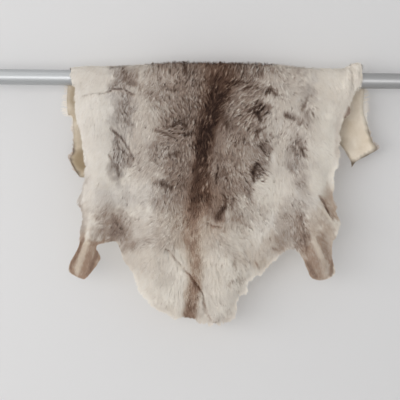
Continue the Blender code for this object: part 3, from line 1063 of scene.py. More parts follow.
FRONT_TOUSLES = (
    # the saddle's left half, from the rail down
    Tousle(-0.115, 0.000, 0.085, 0.065, 190, 30.0, 45.0, 0.014, 0.26, 0.12),
    Tousle(-0.120, 0.080, 0.070, 0.045, 90, 60.0, 40.0, 0.014, 0.17, 0.12),
    Tousle(-0.115, 0.160, 0.055, 0.045, 140, 65.0, 30.0, 0.016, 0.32, 0.14),
    Tousle(-0.165, 0.230, 0.035, 0.035, 50, 65.0, 30.0, 0.014, 0.24, 0.10),
    Tousle(-0.125, 0.290, 0.065, 0.100, 170, -35.0, 45.0, 0.013, 0.18, 0.12),
    Tousle(-0.150, 0.335, 0.030, 0.025, 30, 70.0, 40.0, 0.013, 0.30, 0.10),
    Tousle(-0.060, 0.160, 0.025, 0.200, 180, 0.0, 25.0, 0.016, 0.18, 0.14),
    Tousle(-0.025, 0.170, 0.020, 0.220, 110, 0.0, 16.0, 0.018, 0.04, 0.18),
    # its right half
    Tousle(0.105, 0.000, 0.090, 0.055, 200, -50.0, 18.0, 0.020, 0.22, 0.15),
    Tousle(0.085, 0.110, 0.060, 0.070, 150, -48.0, 26.0, 0.017, 0.19, 0.15),
    Tousle(0.080, 0.220, 0.055, 0.080, 150, -30.0, 45.0, 0.014, 0.17, 0.12),
    Tousle(0.065, 0.340, 0.060, 0.070, 150, -15.0, 50.0, 0.014, 0.19, 0.13),
    # the fans of dark hair on its spots
    Tousle(0.130, 0.100, 0.028, 0.026, 40, -60.0, 20.0, 0.018, 0.42, 0.10),
    Tousle(0.148, 0.205, 0.028, 0.028, 30, 60.0, 35.0, 0.014, 0.28, 0.14),
    Tousle(0.128, 0.290, 0.028, 0.036, 44, 30.0, 45.0, 0.015, 0.42, 0.10),
    Tousle(0.250, 0.215, 0.026, 0.030, 34, 10.0, 50.0, 0.013, 0.34, 0.10),
    Tousle(0.285, 0.110, 0.020, 0.036, 24, 15.0, 30.0, 0.015, 0.26, 0.08),
    Tousle(0.165, 0.040, 0.035, 0.022, 30, 55.0, 25.0, 0.016, 0.34, 0.12),
    # the clouded grounds
    Tousle(0.200, 0.140, 0.075, 0.110, 150, 60.0, 60.0, 0.014, 0.19, 0.12),
    Tousle(0.255, -0.010, 0.045, 0.045, 44, -45.0, 20.0, 0.015, 0.18, 0.10),
    Tousle(-0.205, 0.100, 0.055, 0.160, 110, 65.0, 55.0, 0.016, 0.14, 0.10),
    Tousle(-0.280, 0.005, 0.030, 0.035, 40, 60.0, 60.0, 0.014, 0.24, 0.10),
    Tousle(-0.290, 0.120, 0.030, 0.150, 110, 5.0, 40.0, 0.016, 0.20, 0.12),
    Tousle(-0.290, 0.260, 0.030, 0.035, 40, -10.0, 30.0, 0.016, 0.30, 0.08),
    # below the saddle
    Tousle(-0.110, 0.440, 0.100, 0.055, 110, 82.0, 25.0, 0.017, 0.15, 0.11),
    Tousle(0.140, 0.430, 0.090, 0.065, 110, 70.0, 40.0, 0.015, 0.16, 0.10),
    Tousle(0.260, 0.420, 0.025, 0.090, 56, 0.0, 30.0, 0.014, 0.20, 0.08),
    Tousle(-0.295, 0.440, 0.055, 0.055, 80, 60.0, 40.0, 0.015, 0.18, 0.08),
    # rump
    Tousle(0.065, 0.570, 0.045, 0.070, 40, 10.0, 60.0, 0.015, 0.24, 0.04),
    Tousle(-0.060, 0.560, 0.060, 0.080, 40, 40.0, 60.0, 0.014, 0.10, 0.08),
    Tousle(0.010, 0.720, 0.040, 0.035, 14, -45.0, 25.0, 0.016, 0.18, 0.04),
    Tousle(-0.180, 0.640, 0.090, 0.080, 26, 20.0, 50.0, 0.018, 0.07, 0.04),
)
BACK_TOUSLES = (
    Tousle(0.000, 0.120, 0.200, 0.090, 260, 0.0, 45.0, 0.018, 0.16, 0.12),
    Tousle(0.000, 0.300, 0.160, 0.110, 160, 0.0, 45.0, 0.020, 0.12, 0.10),
)


@dataclass(frozen=True)
class Swirl:
    """A patch where the hair lies turned, in degrees from the tail towards the right."""

    x: float
    down: float
    rx: float
    ry: float
    turn: float


SWIRLS = (
    Swirl(0.080, 0.060, 0.110, 0.130, -55.0),
    Swirl(0.130, 0.120, 0.060, 0.060, -30.0),
    Swirl(0.120, 0.290, 0.060, 0.070, 45.0),
    Swirl(-0.126, 0.165, 0.060, 0.050, -60.0),
    Swirl(-0.160, 0.090, 0.070, 0.060, 35.0),
    Swirl(-0.300, 0.120, 0.060, 0.100, 30.0),
    Swirl(0.230, 0.160, 0.070, 0.110, -35.0),
    Swirl(0.060, 0.500, 0.080, 0.060, 35.0),
    Swirl(-0.190, 0.440, 0.070, 0.080, -40.0),
    Swirl(-0.395, 0.540, 0.060, 0.110, 8.0),
)


@dataclass(frozen=True)
class Fringe:
    """A stretch of edge where the hair stands out past the skin, or stops short of it."""

    drop: Drop
    x: float
    down: float
    radius: float
    overhang: float
    turn: float


FRINGES = (
    Fringe(Drop.BACK, 0.462, 0.064, 0.040, 0.022, 70.0),
    Fringe(Drop.BACK, -0.462, 0.078, 0.042, 0.017, -70.0),
    Fringe(Drop.BACK, 0.380, 0.215, 0.040, 0.008, 140.0),
    Fringe(Drop.BACK, -0.452, 0.200, 0.050, -0.003, -60.0),
    Fringe(Drop.FRONT, 0.450, -0.010, 0.070, -0.008, 12.0),
    Fringe(Drop.FRONT, 0.420, 0.060, 0.040, -0.006, 14.0),
    Fringe(Drop.FRONT, 0.402, 0.106, 0.018, 0.005, 60.0),
    Fringe(Drop.FRONT, 0.392, 0.440, 0.050, -0.010, 20.0),
)


@dataclass
class Coat:
    """What the coat is like at each place on the skin: pigment, lie, length and partings."""

    shape: HideShape
    base_tone: float = 0.11
    base_warmth: float = 0.38
    map_pitch: float = 0.0013
    wisp_seed: int = 41
    wisp_half_width: float = 0.0016
    wisp_bend: float = 0.35
    mottle_size: float = 0.030
    mottle_tone: float = 0.070
    overhang_low: float = 0.0010  # how far tips reach past the outline
    overhang_high: float = 0.0115
    body_length: float = 0.024
    leg_length: float = 0.012
    neck_length: float = 0.046
    tone: Grid = field(init=False)
    warmth: Grid = field(init=False)
    gap: Grid = field(init=False)

    def __post_init__(self) -> None:
        """Draws the maps of tone, warmth and partings."""
        self.patches, self.lines, self.flow = Grain(3), Grain(17), Grain(29)
        low, high = self.shape.low, self.shape.high
        x, s = Grid.places(low, high, self.map_pitch)
        tone, warmth = self.draw_pigment(x, s)
        corner = tuple(low)
        tone = self.draw_wisps(self.draw_clouds(x, s, tone))
        tone = self.draw_strokes(x, s, tone)
        self.tone = Grid(corner, self.map_pitch, tone)
        self.warmth = Grid(corner, self.map_pitch, warmth)
        self.gap = Grid(corner, self.map_pitch, self.draw_gaps(x, s))

    def draw_pigment(self, x: Array, s: Array) -> tuple[Array, Array]:
        """Lays the saddle, the markings and the spine line over the ground colour.

        Args:
            x: places across the skin.
            s: places along the skin.

        Returns:
            Tone and warmth at each place.
        """
        broad = self.patches.layered(x, s, 0.070)
        fine = self.patches.layered(x + 0.9, s, 0.014, 3)
        # painted light and shade of soft puffs in the coat, over the whole skin
        puff_shading = self.patches.layered(x + 2.1, s, 0.034, 2)
        tone = self.base_tone + 0.05 * broad + 0.05 * puff_shading + 0.02 * fine
        warmth = self.base_warmth + 0.14 * self.patches.layered(x, s + 0.6, 0.11)
        wander_x = 0.012 * self.lines.layered(x, s, 0.040) + 0.004 * fine
        wander_s = 0.014 * self.lines.layered(x + 0.5, s, 0.040) + 0.005 * fine
        ground = tone, warmth
        warm = 0.45 + 0.25 * smooth_step(s, self.shape.along(Drop.FRONT, 0.22), 0.50)
        tone, warmth = self.draw_band(
            x + 1.3 * wander_x, s, ground, SADDLE, SADDLE_BEHIND, warm, (0.70, 1.26), 0.20 * fine
        )
        for drop, markings in ((Drop.FRONT, FRONT_MARKINGS), (Drop.BACK, BACK_MARKINGS)):
            for mark in markings:
                middle = self.shape.along(drop, mark.down)
                reach = np.hypot(
                    (x + wander_x - mark.x) / mark.rx,
                    (s + wander_s - middle) / mark.ry,
                )
                weight = mark.strength * (
                    1.0 - smooth_step(reach + 0.35 * fine, 1.0 - mark.soft, 1.0 + mark.soft)
                )
                tone = tone + (mark.tone + 0.04 * broad - tone) * weight
                warmth = warmth + (mark.warmth - warmth) * weight
        ground = tone, warmth
        return self.draw_band(
            x + 0.5 * wander_x, s, ground, SPINE, SPINE_BEHIND, 0.95, (0.30, 1.80), 0.20 * fine
        )

    def draw_band(
        self,
        x: Array,
        s: Array,
        ground: tuple[Array, Array],
        front: tuple[Stripe, ...],
        behind: tuple[Stripe, ...],
        warm: float | Array,
        fade: tuple[float, float],
        noise: Array,
    ) -> tuple[Array, Array]:
        """Lays a dark band along the spine.

        Args:
            x: places across the skin, already a little wandered.
            s: places along the skin.
            ground: tone and warmth so far.
            front: the band's places down the front drop.
            behind: its places down the back drop, from the neck up.
            warm: the band's warmth.
            fade: where its edge starts and ends to fade, as shares of its reach.
            noise: fine noise that breaks its edge.

        Returns:
            Tone and warmth with the band in them.
        """
        stripes = [(self.shape.along(Drop.BACK, p.down), p) for p in behind]
        stripes += [(self.shape.along(Drop.FRONT, p.down), p) for p in front]
        places = np.array([place for place, _ in stripes])
        middle, left, right, dark = (
            np.interp(s, places, [getattr(p, name) for _, p in stripes])
            for name in ("x", "left", "right", "tone")
        )
        reach = np.where(x < middle, (middle - x) / left, (x - middle) / right)
        weight = 1.0 - smooth_step(reach + noise, *fade)
        ends = smooth_step(s, places[0] - 0.06, places[0])
        ends = ends * (1.0 - smooth_step(s, places[-1], places[-1] + 0.06))
        tone, warmth = ground
        weight = weight * ends
        tone = np.where(dark > tone, tone + (dark - tone) * weight, tone)
        return tone, warmth + (warm - warmth) * weight * 0.9

    def line_reach(self, x: Array, s: Array, line: Parting | Stroke) -> Array:
        """Measures how far each place is from a line on the front drop, in half widths."""
        start = np.array([line.x0, self.shape.along(Drop.FRONT, line.down0)])
        end = np.array([line.x1, self.shape.along(Drop.FRONT, line.down1)])
        run = end - start
        px, ps = x - start[0], s - start[1]
        t = np.clip((px * run[0] + ps * run[1]) / max(run @ run, 1e-12), 0.0, 1.0)
        return np.hypot(px - t * run[0], ps - t * run[1]) / line.half_width

    def draw_strokes(self, x: Array, s: Array, tone: Array) -> Array:
        """Lays the short lines of darker and paler hair, and of painted shade and highlight, over the
        tone.
        """
        wander = 0.0016 * self.lines.layered(x, s, 0.012, 2)
        for line in STROKES:
            weight = 1.0 - smooth_step(self.line_reach(x + wander, s, line), 0.35, 1.75)
            tone = tone + (line.tone - tone) * line.strength * weight
        return tone

    def draw_clouds(self, x: Array, s: Array, tone: Array) -> Array:
        """Breaks up the darker coat with soft clouds, away from the legs."""
        body = smooth_step(tone, 0.14, 0.42) * (1.0 - self.shape.leg(x, s))
        clouds = self.patches.layered(x + 0.3, s + 1.1, self.mottle_size)
        return tone + body * self.mottle_tone * clouds

    def draw_wisps(self, tone: Array) -> Array:
        """Draws the tousled wisps into the tone.

        Args:
            tone: the tone at each place of the map.

        Returns:
            The tone with the wisps in it.
        """
        draw = np.random.default_rng(self.wisp_seed)
        tone = tone.copy()
        for drop, tousles in ((Drop.FRONT, FRONT_TOUSLES), (Drop.BACK, BACK_TOUSLES)):
            for patch in tousles:
                middle = self.shape.along(drop, patch.down)
                for own in draw.normal(0.0, 1.0, (patch.wisps, 6)):
                    place = patch.x + 0.62 * patch.rx * own[0], middle + 0.62 * patch.ry * own[1]
                    lie = math.radians(patch.lie + patch.spread * own[2])
                    long = patch.length * min(max(1.0 + 0.30 * own[3], 0.4), 1.8)
                    self.draw_wisp(tone, place, lie, long, self.wisp_bend * own[4], patch, own[5])
        return tone

    def draw_wisp(
        self,
        tone: Array,
        place: tuple[float, float],
        lie: float,
        long: float,
        bend: float,
        patch: Tousle,
        number: float,
    ) -> None:
        """Draws one wisp: a bent line of dark hair and painted shade, with a pale line of painted
        highlight along one side.

        Args:
            tone: the map, changed in place.
            place: the wisp's middle.
            lie: which way it lies, in radians from the tail.
            long: its length.
            bend: how far it bends over its length, as a share of it.
            patch: the tousle that it belongs to.
            number: its own random number, which sets its strength.
        """
        half = self.wisp_half_width
        margin = 0.5 * long + 4.0 * half
        first = [
            int((place[k] - margin - self.shape.low[k]) / self.map_pitch) for k in (0, 1)
        ]
        cells = int(2.0 * margin / self.map_pitch) + 1
        if min(first) < 0 or first[0] + cells > tone.shape[0] or first[1] + cells > tone.shape[1]:
            return
        steps = np.arange(cells) * self.map_pitch
        dx = (self.shape.low[0] + first[0] * self.map_pitch - place[0] + steps)[:, None]
        ds = (self.shape.low[1] + first[1] * self.map_pitch - place[1] + steps)[None, :]
        along = dx * math.sin(lie) + ds * math.cos(lie)
        across = dx * math.cos(lie) - ds * math.sin(lie) - bend * along**2 / (0.5 * long)
        ends = 1.0 - smooth_step(np.abs(along) / (0.5 * long), 0.35, 1.0)
        strength = min(max(1.0 + 0.45 * number, 0.2), 2.0)
        dark = 1.0 - smooth_step(np.abs(across) / half, 0.2, 1.6)
        # the pale line always lies on the same side of the dark one: a painted highlight on the wisp's lit
        # side
        pale = 1.0 - smooth_step(np.abs(across + 2.1 * half) / half, 0.2, 1.8)
        window = np.s_[first[0] : first[0] + cells, first[1] : first[1] + cells]
        tone[window] += strength * ends * (patch.dark * dark - patch.pale * pale)

    def draw_gaps(self, x: Array, s: Array) -> Array:
        """Draws where the coat opens: 1 in the middle of an opening and 0 away from it."""
        gap = np.zeros_like(x)
        wander = 0.0030 * self.lines.layered(x, s, 0.022)
        for line in PARTINGS:
            reach = self.line_reach(x + wander, s, line)
            gap = np.maximum(gap, 1.0 - smooth_step(reach, 0.3, 1.6))
        return gap

    def crisp(self, x: Array, s: Array) -> Array:
        """Tells how much the hairs differ from each other, from 0, smooth, to 1, streaked."""
        streaked = smooth_step(self.tone.at(x, s), 0.14, 0.50) * (1.0 - 0.75 * self.shape.leg(x, s))
        return streaked * (0.40 + 0.60 * smooth_step(self.flow.layered(x, s + 2.0, 0.05, 2), -0.4, 0.3))

    def overhang(self, x: Array, s: Array) -> Array:
        """Works out how far tips may reach past the outline."""
        wave = 0.5 + 0.5 * np.clip(1.3 * self.flow.layered(x + 3.0, s, 0.017), -1.0, 1.0)
        reach = self.overhang_low + (self.overhang_high - self.overhang_low) * wave
        reach = reach * (1.0 - 0.85 * self.shape.leg(x, s))
        for fringe in FRINGES:
            reach = reach + fringe.overhang * self.fringed(x, s, fringe)
        return reach

    def fringed(self, x: Array, s: Array, fringe: Fringe) -> Array:
        """Tells how far each place belongs to a fringe, from 0 to 1."""
        middle = self.shape.along(fringe.drop, fringe.down)
        away = np.hypot(x - fringe.x, s - middle) / fringe.radius
        return 1.0 - smooth_step(away, 0.5, 1.2)

    def turn(self, x: Array, s: Array) -> Array:
        """Works out which way the hair lies, in radians from the tail towards the right."""
        outward = np.sign(x) * (8.0 + 26.0 * smooth_step(np.abs(x), 0.04, 0.34))
        outward = outward * smooth_step(np.abs(x), 0.0, 0.05)
        leg = self.shape.leg(x, s)
        degrees = outward * (1.0 - 0.7 * leg)
        for swirl in SWIRLS:
            middle = self.shape.along(Drop.FRONT, swirl.down)
            reach = np.hypot((x - swirl.x) / swirl.rx, (s - middle) / swirl.ry)
            degrees = degrees + swirl.turn * (1.0 - smooth_step(reach, 0.35, 1.25))
        for fringe in FRINGES:
            degrees = degrees + (fringe.turn - degrees) * self.fringed(x, s, fringe)
        loose = 1.0 - 0.85 * leg
        degrees = degrees + loose * 20.0 * self.flow.layered(x, s, 0.075, 2)
        degrees = degrees + loose * 15.0 * self.flow.at(x + 0.4, s, 0.021)
        return np.radians(degrees)

    def length(self, x: Array, s: Array) -> Array:
        """Works out how long the hair is."""
        neck = smooth_step(-s, self.shape.bend + 0.22, self.shape.bend + 0.42)
        body = self.body_length + (self.neck_length - self.body_length) * neck
        return body + (self.leg_length - body) * self.shape.leg(x, s)


# ----------------------------------------------------------------- finishes


class Pigment:
    """The two runs of reindeer hair colour, and the nodes that read them off the hair."""

    COOL = (
        (0.00, "#f3f0eb"),
        (0.25, "#cfc9c3"),
        (0.50, "#9c928b"),
        (0.75, "#62554d"),
        (1.00, "#211815"),
    )
    WARM = (
        (0.00, "#f2ebdd"),
        (0.25, "#d3c5b4"),
        (0.50, "#a98f7c"),
        (0.75, "#6d5243"),
        (1.00, "#27160f"),
    )

    @classmethod
    def colour(cls, tree: bpy.types.NodeTree, tone: bpy.types.NodeSocket) -> bpy.types.NodeSocket:
        """Adds the nodes that turn tone and warmth into a colour.

        Args:
            tree: the material's node tree.
            tone: the output that gives the tone.

        Returns:
            The output that gives the colour.
        """
        warmth = add_node(tree, "ShaderNodeAttribute", attribute_name="warmth")
        cool = add_node(tree, "ShaderNodeValToRGB", {"Fac": tone})
        warm = add_node(tree, "ShaderNodeValToRGB", {"Fac": tone})
        set_stops(cool.color_ramp, cls.COOL)
        set_stops(warm.color_ramp, cls.WARM)
        inputs = {0: warmth.outputs["Fac"], 6: cool.outputs[0], 7: warm.outputs[0]}
        mix = add_node(tree, "ShaderNodeMix", inputs, data_type="RGBA")
        return mix.outputs[2]


@dataclass(frozen=True)
class GuardHair:
    """Reindeer guard hair, hollow keratin, grown: pale shafts with a soft dull gloss.

    The colour comes from the tone of each hair, its pigment with some painted light
    and shade in it, so it streaks as fur does, and the dark hair is a little glossier than the cream.
    """

    name: str = "reindeer_guard_hair"
    ior: float = 1.55
    specular: float = 0.13
    sheen: float = 0.10
    sheen_roughness: float = 0.45
    rough_pale: float = 0.74
    rough_dark: float = 0.66

    def material(self) -> bpy.types.Material:
        """Makes the material."""
        material, tree = new_material(self.name)
        tone = add_node(tree, "ShaderNodeAttribute", attribute_name="tone").outputs["Fac"]
        inputs = {0: tone, 3: self.rough_pale, 4: self.rough_dark}
        rough = add_node(tree, "ShaderNodeMapRange", inputs)
        inputs = {
            "Base Color": Pigment.colour(tree, tone),
            "Roughness": rough.outputs[0],
            "IOR": self.ior,
            "Specular IOR Level": self.specular,
            "Sheen Weight": self.sheen,
            "Sheen Roughness": self.sheen_roughness,
        }
        shader = add_node(tree, "ShaderNodeBsdfPrincipled", inputs)
        add_node(tree, "ShaderNodeOutputMaterial", {0: shader.outputs[0]})
        return material


@dataclass(frozen=True)
class WoolUnderfur:
    """Reindeer underfur, fine crimped wool, grown: the dull depth between the guard hairs.

    It is drawn coarser than the real 0.02 mm wool, which would not show.
    """

    name: str = "reindeer_underfur"
    roughness: float = 0.92
    fibre: float = 1.6 * MM
    tuft: float = 9.0 * MM
    bump: float = 0.6
    bump_depth: float = 1.2 * MM

    def material(self) -> bpy.types.Material:
        """Makes the material."""
        material, tree = new_material(self.name)
        tone = add_node(tree, "ShaderNodeAttribute", attribute_name="tone").outputs["Fac"]
        place = add_node(tree, "ShaderNodeTexCoord").outputs["Object"]
        tufts = add_node(
            tree,
            "ShaderNodeTexNoise",
            {"Vector": place, "Scale": 1 / self.tuft, "Detail": 3.0},
        )
        fibres = add_node(
            tree,
            "ShaderNodeTexNoise",
            {"Vector": place, "Scale": 1 / self.fibre, "Detail": 2.0},
        )
        inputs = {0: tufts.outputs["Fac"], 1: 0.10, 2: tone}
        deeper = add_node(tree, "ShaderNodeMath", inputs, operation="MULTIPLY_ADD")
        rough = add_node(
            tree,
            "ShaderNodeMapRange",
            {0: fibres.outputs["Fac"], 3: self.roughness - 0.06, 4: self.roughness + 0.06},
        )
        bump = add_node(
            tree,
            "ShaderNodeBump",
            {"Strength": self.bump, "Distance": self.bump_depth, "Height": fibres.outputs["Fac"]},
        )
        inputs = {
            "Base Color": Pigment.colour(tree, deeper.outputs[0]),
            "Roughness": rough.outputs[0],
            "Specular IOR Level": 0.1,
            "Normal": bump.outputs[0],
        }
        shader = add_node(tree, "ShaderNodeBsdfPrincipled", inputs)
        add_node(tree, "ShaderNodeOutputMaterial", {0: shader.outputs[0]})
        return material


@dataclass(frozen=True)
class FleshSide:
    """Alum-tanned reindeer leather, buffed on the flesh side: matt cream suede.

    It shows soft tan clouds, a short nap, fine creases, deeper tan stains with some painted shade, and a
    darker rim of painted shade along the cut edge.
    """

    name: str = "tanned_flesh_side"
    cream: str = "#e9dfd0"
    tan: str = "#d5c7b3"
    # the colour of the painted shade along the cut edge
    rim: str = "#4d4033"
    deep: str = "#a08f76"
    roughness: float = 0.88
    cloud: float = 70.0 * MM
    nap: float = 1.8 * MM
    crease: float = 14.0 * MM
    nap_depth: float = 0.35 * MM
    crease_depth: float = 1.2 * MM

    def material(self) -> bpy.types.Material:
        """Makes the material."""
        material, tree = new_material(self.name)
        place = add_node(tree, "ShaderNodeTexCoord").outputs["Object"]
        clouds = add_node(
            tree,
            "ShaderNodeTexNoise",
            {"Vector": place, "Scale": 1 / self.cloud, "Detail": 4.0, "Roughness": 0.6},
        )
        ramp = add_node(tree, "ShaderNodeValToRGB", {"Fac": clouds.outputs["Fac"]})
        set_stops(ramp.color_ramp, ((0.36, self.cream), (0.66, self.tan)))
        # deeper tan stains, with painted shade in some of them
        stain_and_shade_share = add_node(tree, "ShaderNodeAttribute", attribute_name="stain_and_shade")
        inputs = {0: stain_and_shade_share.outputs["Fac"], 6: ramp.outputs[0], 7: linear(self.deep)}
        stain_and_shade = add_node(tree, "ShaderNodeMix", inputs, data_type="RGBA")
        # the darker rim along the cut edge is painted shade
        rim_shade = add_node(tree, "ShaderNodeAttribute", attribute_name="rim_shade")
        inputs = {0: rim_shade.outputs["Fac"], 6: stain_and_shade.outputs[2], 7: linear(self.rim)}
        colour = add_node(tree, "ShaderNodeMix", inputs, data_type="RGBA")
        nap = add_node(
            tree, "ShaderNodeTexNoise", {"Vector": place, "Scale": 1 / self.nap, "Detail": 3.0}
        )
        creases = add_node(
            tree,
            "ShaderNodeTexNoise",
            {"Vector": place, "Scale": 1 / self.crease, "Detail": 5.0, "Distortion": 0.8},
        )
        rough = add_node(
            tree,
            "ShaderNodeMapRange",
            {0: nap.outputs["Fac"], 3: self.roughness - 0.08, 4: self.roughness + 0.08},
        )
        fine = add_node(
            tree,
            "ShaderNodeBump",
            {"Strength": 0.6, "Distance": self.nap_depth, "Height": nap.outputs["Fac"]},
        )
        bump = add_node(
            tree,
            "ShaderNodeBump",
            {
                "Strength": 0.5,
                "Distance": self.crease_depth,
                "Height": creases.outputs["Fac"],
                "Normal": fine.outputs[0],
            },
        )
        inputs = {
            "Base Color": colour.outputs[2],
            "Roughness": rough.outputs[0],
            "Specular IOR Level": 0.15,
            "Sheen Weight": 0.15,
            "Normal": bump.outputs[0],
        }
        shader = add_node(tree, "ShaderNodeBsdfPrincipled", inputs)
        add_node(tree, "ShaderNodeOutputMaterial", {0: shader.outputs[0]})
        return material


@dataclass(frozen=True)
class AnodisedTube:
    """Extruded aluminium tube, satin anodised: a cool grey with a soft long highlight.

    The die leaves faint lines along the tube. Real ones are 0.1 mm apart, and
    they are drawn coarser so that they show. Towards the right end the colour is
    painted darker, as painted shade: the light falls from the left.
    """

    name: str = "satin_anodised_aluminium"
    colour: str = "#c4c6c7"
    worn: str = "#bdbfc0"
    # the right end's colour: the same anodising, painted darker as shade
    dull: str = "#adadad"
    shade_from: float = 0.30  # where the painted shade starts, from the left end in metres
    shade_to: float = 1.20  # and where it is whole
    roughness: float = 0.48
    rough_spread: float = 0.02
    handled_patch: float = 1.0 / 14.0  # patches left by hands, about 71 mm across
    die_line: float = 1.2 * MM
    stretch: float = 0.003  # the lines' width over their length
    line_strength: float = 0.02
    line_depth: float = 0.02 * MM

    def material(self) -> bpy.types.Material:
        """Makes the material."""
        material, tree = new_material(self.name)
        place = add_node(tree, "ShaderNodeTexCoord").outputs["Object"]
        along = add_node(
            tree, "ShaderNodeMapping", {"Vector": place, "Scale": (self.stretch, 1.0, 1.0)}
        )
        lines = add_node(
            tree,
            "ShaderNodeTexNoise",
            {"Vector": along.outputs[0], "Scale": 1 / self.die_line, "Detail": 3.0},
        )
        handled = add_node(
            tree,
            "ShaderNodeTexNoise",
            {"Vector": place, "Scale": 1 / self.handled_patch, "Detail": 3.0},
        )
        inputs = {0: lines.outputs["Fac"], 6: linear(self.colour), 7: linear(self.worn)}
        bright = add_node(tree, "ShaderNodeMix", inputs, data_type="RGBA")
        length = add_node(tree, "ShaderNodeSeparateXYZ", {0: place}).outputs[0]
        inputs = {0: length, 1: self.shade_from, 2: self.shade_to}
        share = add_node(tree, "ShaderNodeMapRange", inputs)
        inputs = {0: share.outputs[0], 6: bright.outputs[2], 7: linear(self.dull)}
        colour = add_node(tree, "ShaderNodeMix", inputs, data_type="RGBA")
        rough = add_node(
            tree,
            "ShaderNodeMapRange",
            {
                0: handled.outputs["Fac"],
                3: self.roughness - self.rough_spread,
                4: self.roughness + self.rough_spread,
            },
        )
        bump = add_node(
            tree,
            "ShaderNodeBump",
            {
                "Strength": self.line_strength,
                "Distance": self.line_depth,
                "Height": lines.outputs["Fac"],
            },
        )
        inputs = {
            "Base Color": colour.outputs[2],
            "Metallic": 1.0,
            "Roughness": rough.outputs[0],
            "Normal": bump.outputs[0],
        }
        shader = add_node(tree, "ShaderNodeBsdfPrincipled", inputs)
        add_node(tree, "ShaderNodeOutputMaterial", {0: shader.outputs[0]})
        return material


@dataclass(frozen=True)
class MattPaint:
    """Matt emulsion on plaster, rolled: an even pale grey. From behind it is open, so it hides nothing."""

    name: str = "matt_emulsion"
    colour: str = "#d4d4d5"
    open_behind: bool = False

    def material(self) -> bpy.types.Material:
        """Makes the material."""
        material, tree = new_material(self.name)
        inputs = {"Base Color": linear(self.colour), "Roughness": 0.95, "Specular IOR Level": 0.1}
        shader = add_node(tree, "ShaderNodeBsdfPrincipled", inputs).outputs[0]
        if self.open_behind:
            behind = add_node(tree, "ShaderNodeNewGeometry").outputs["Backfacing"]
            clear = add_node(tree, "ShaderNodeBsdfTransparent").outputs[0]
            shader = add_node(tree, "ShaderNodeMixShader", {0: behind, 1: shader, 2: clear}).outputs[0]
        add_node(tree, "ShaderNodeOutputMaterial", {0: shader})
        return material


# ------------------------------------------------------------------- pieces


def new_object(name: str, mesh: bpy.types.Mesh, material: bpy.types.Material) -> bpy.types.Object:
    """Puts a mesh in the scene.

    Args:
        name: the piece's name.
        mesh: its mesh.
        material: its finish.

    Returns:
        The new object.
    """
    mesh.materials.append(material)
    piece = bpy.data.objects.new(name, mesh)
    bpy.context.scene.collection.objects.link(piece)
    return piece


def set_values(mesh: bpy.types.Mesh, name: str, values: Array) -> None:
    """Stores one value for each point of a mesh."""
    layer = mesh.attributes.new(name, "FLOAT", "POINT")
    layer.data.foreach_set("value", np.ascontiguousarray(values, np.float32))


# Where painted shade darkens the cut edge, as the edge and the hair behind it lie in shadow: the drop, x,
# down and the radius of the patch.
SHADED_RIMS = (
    (Drop.BACK, 0.500, 0.205, 0.085),
    (Drop.BACK, 0.450, 0.250, 0.055),
    (Drop.BACK, -0.450, 0.260, 0.070),
    (Drop.FRONT, -0.420, 0.590, 0.060),
    (Drop.FRONT, 0.330, 0.595, 0.060),
)


# Where the flesh side is drawn deeper: tan stains, and on the back drop's left strip painted shade as
# well, behind the front drop's edge: the drop, x, down, the radius and how far.
STAINS_AND_SHADE = (
    (Drop.BACK, -0.430, 0.060, 0.050, 0.75),
    (Drop.BACK, -0.440, 0.115, 0.035, 0.55),
    (Drop.BACK, -0.430, 0.180, 0.050, 0.50),
    (Drop.BACK, -0.412, 0.255, 0.050, 1.00),
    (Drop.BACK, 0.405, 0.200, 0.030, 0.35),
    (Drop.FRONT, -0.150, 0.250, 0.120, 0.40),
    (Drop.FRONT, 0.200, 0.430, 0.100, 0.35),
)


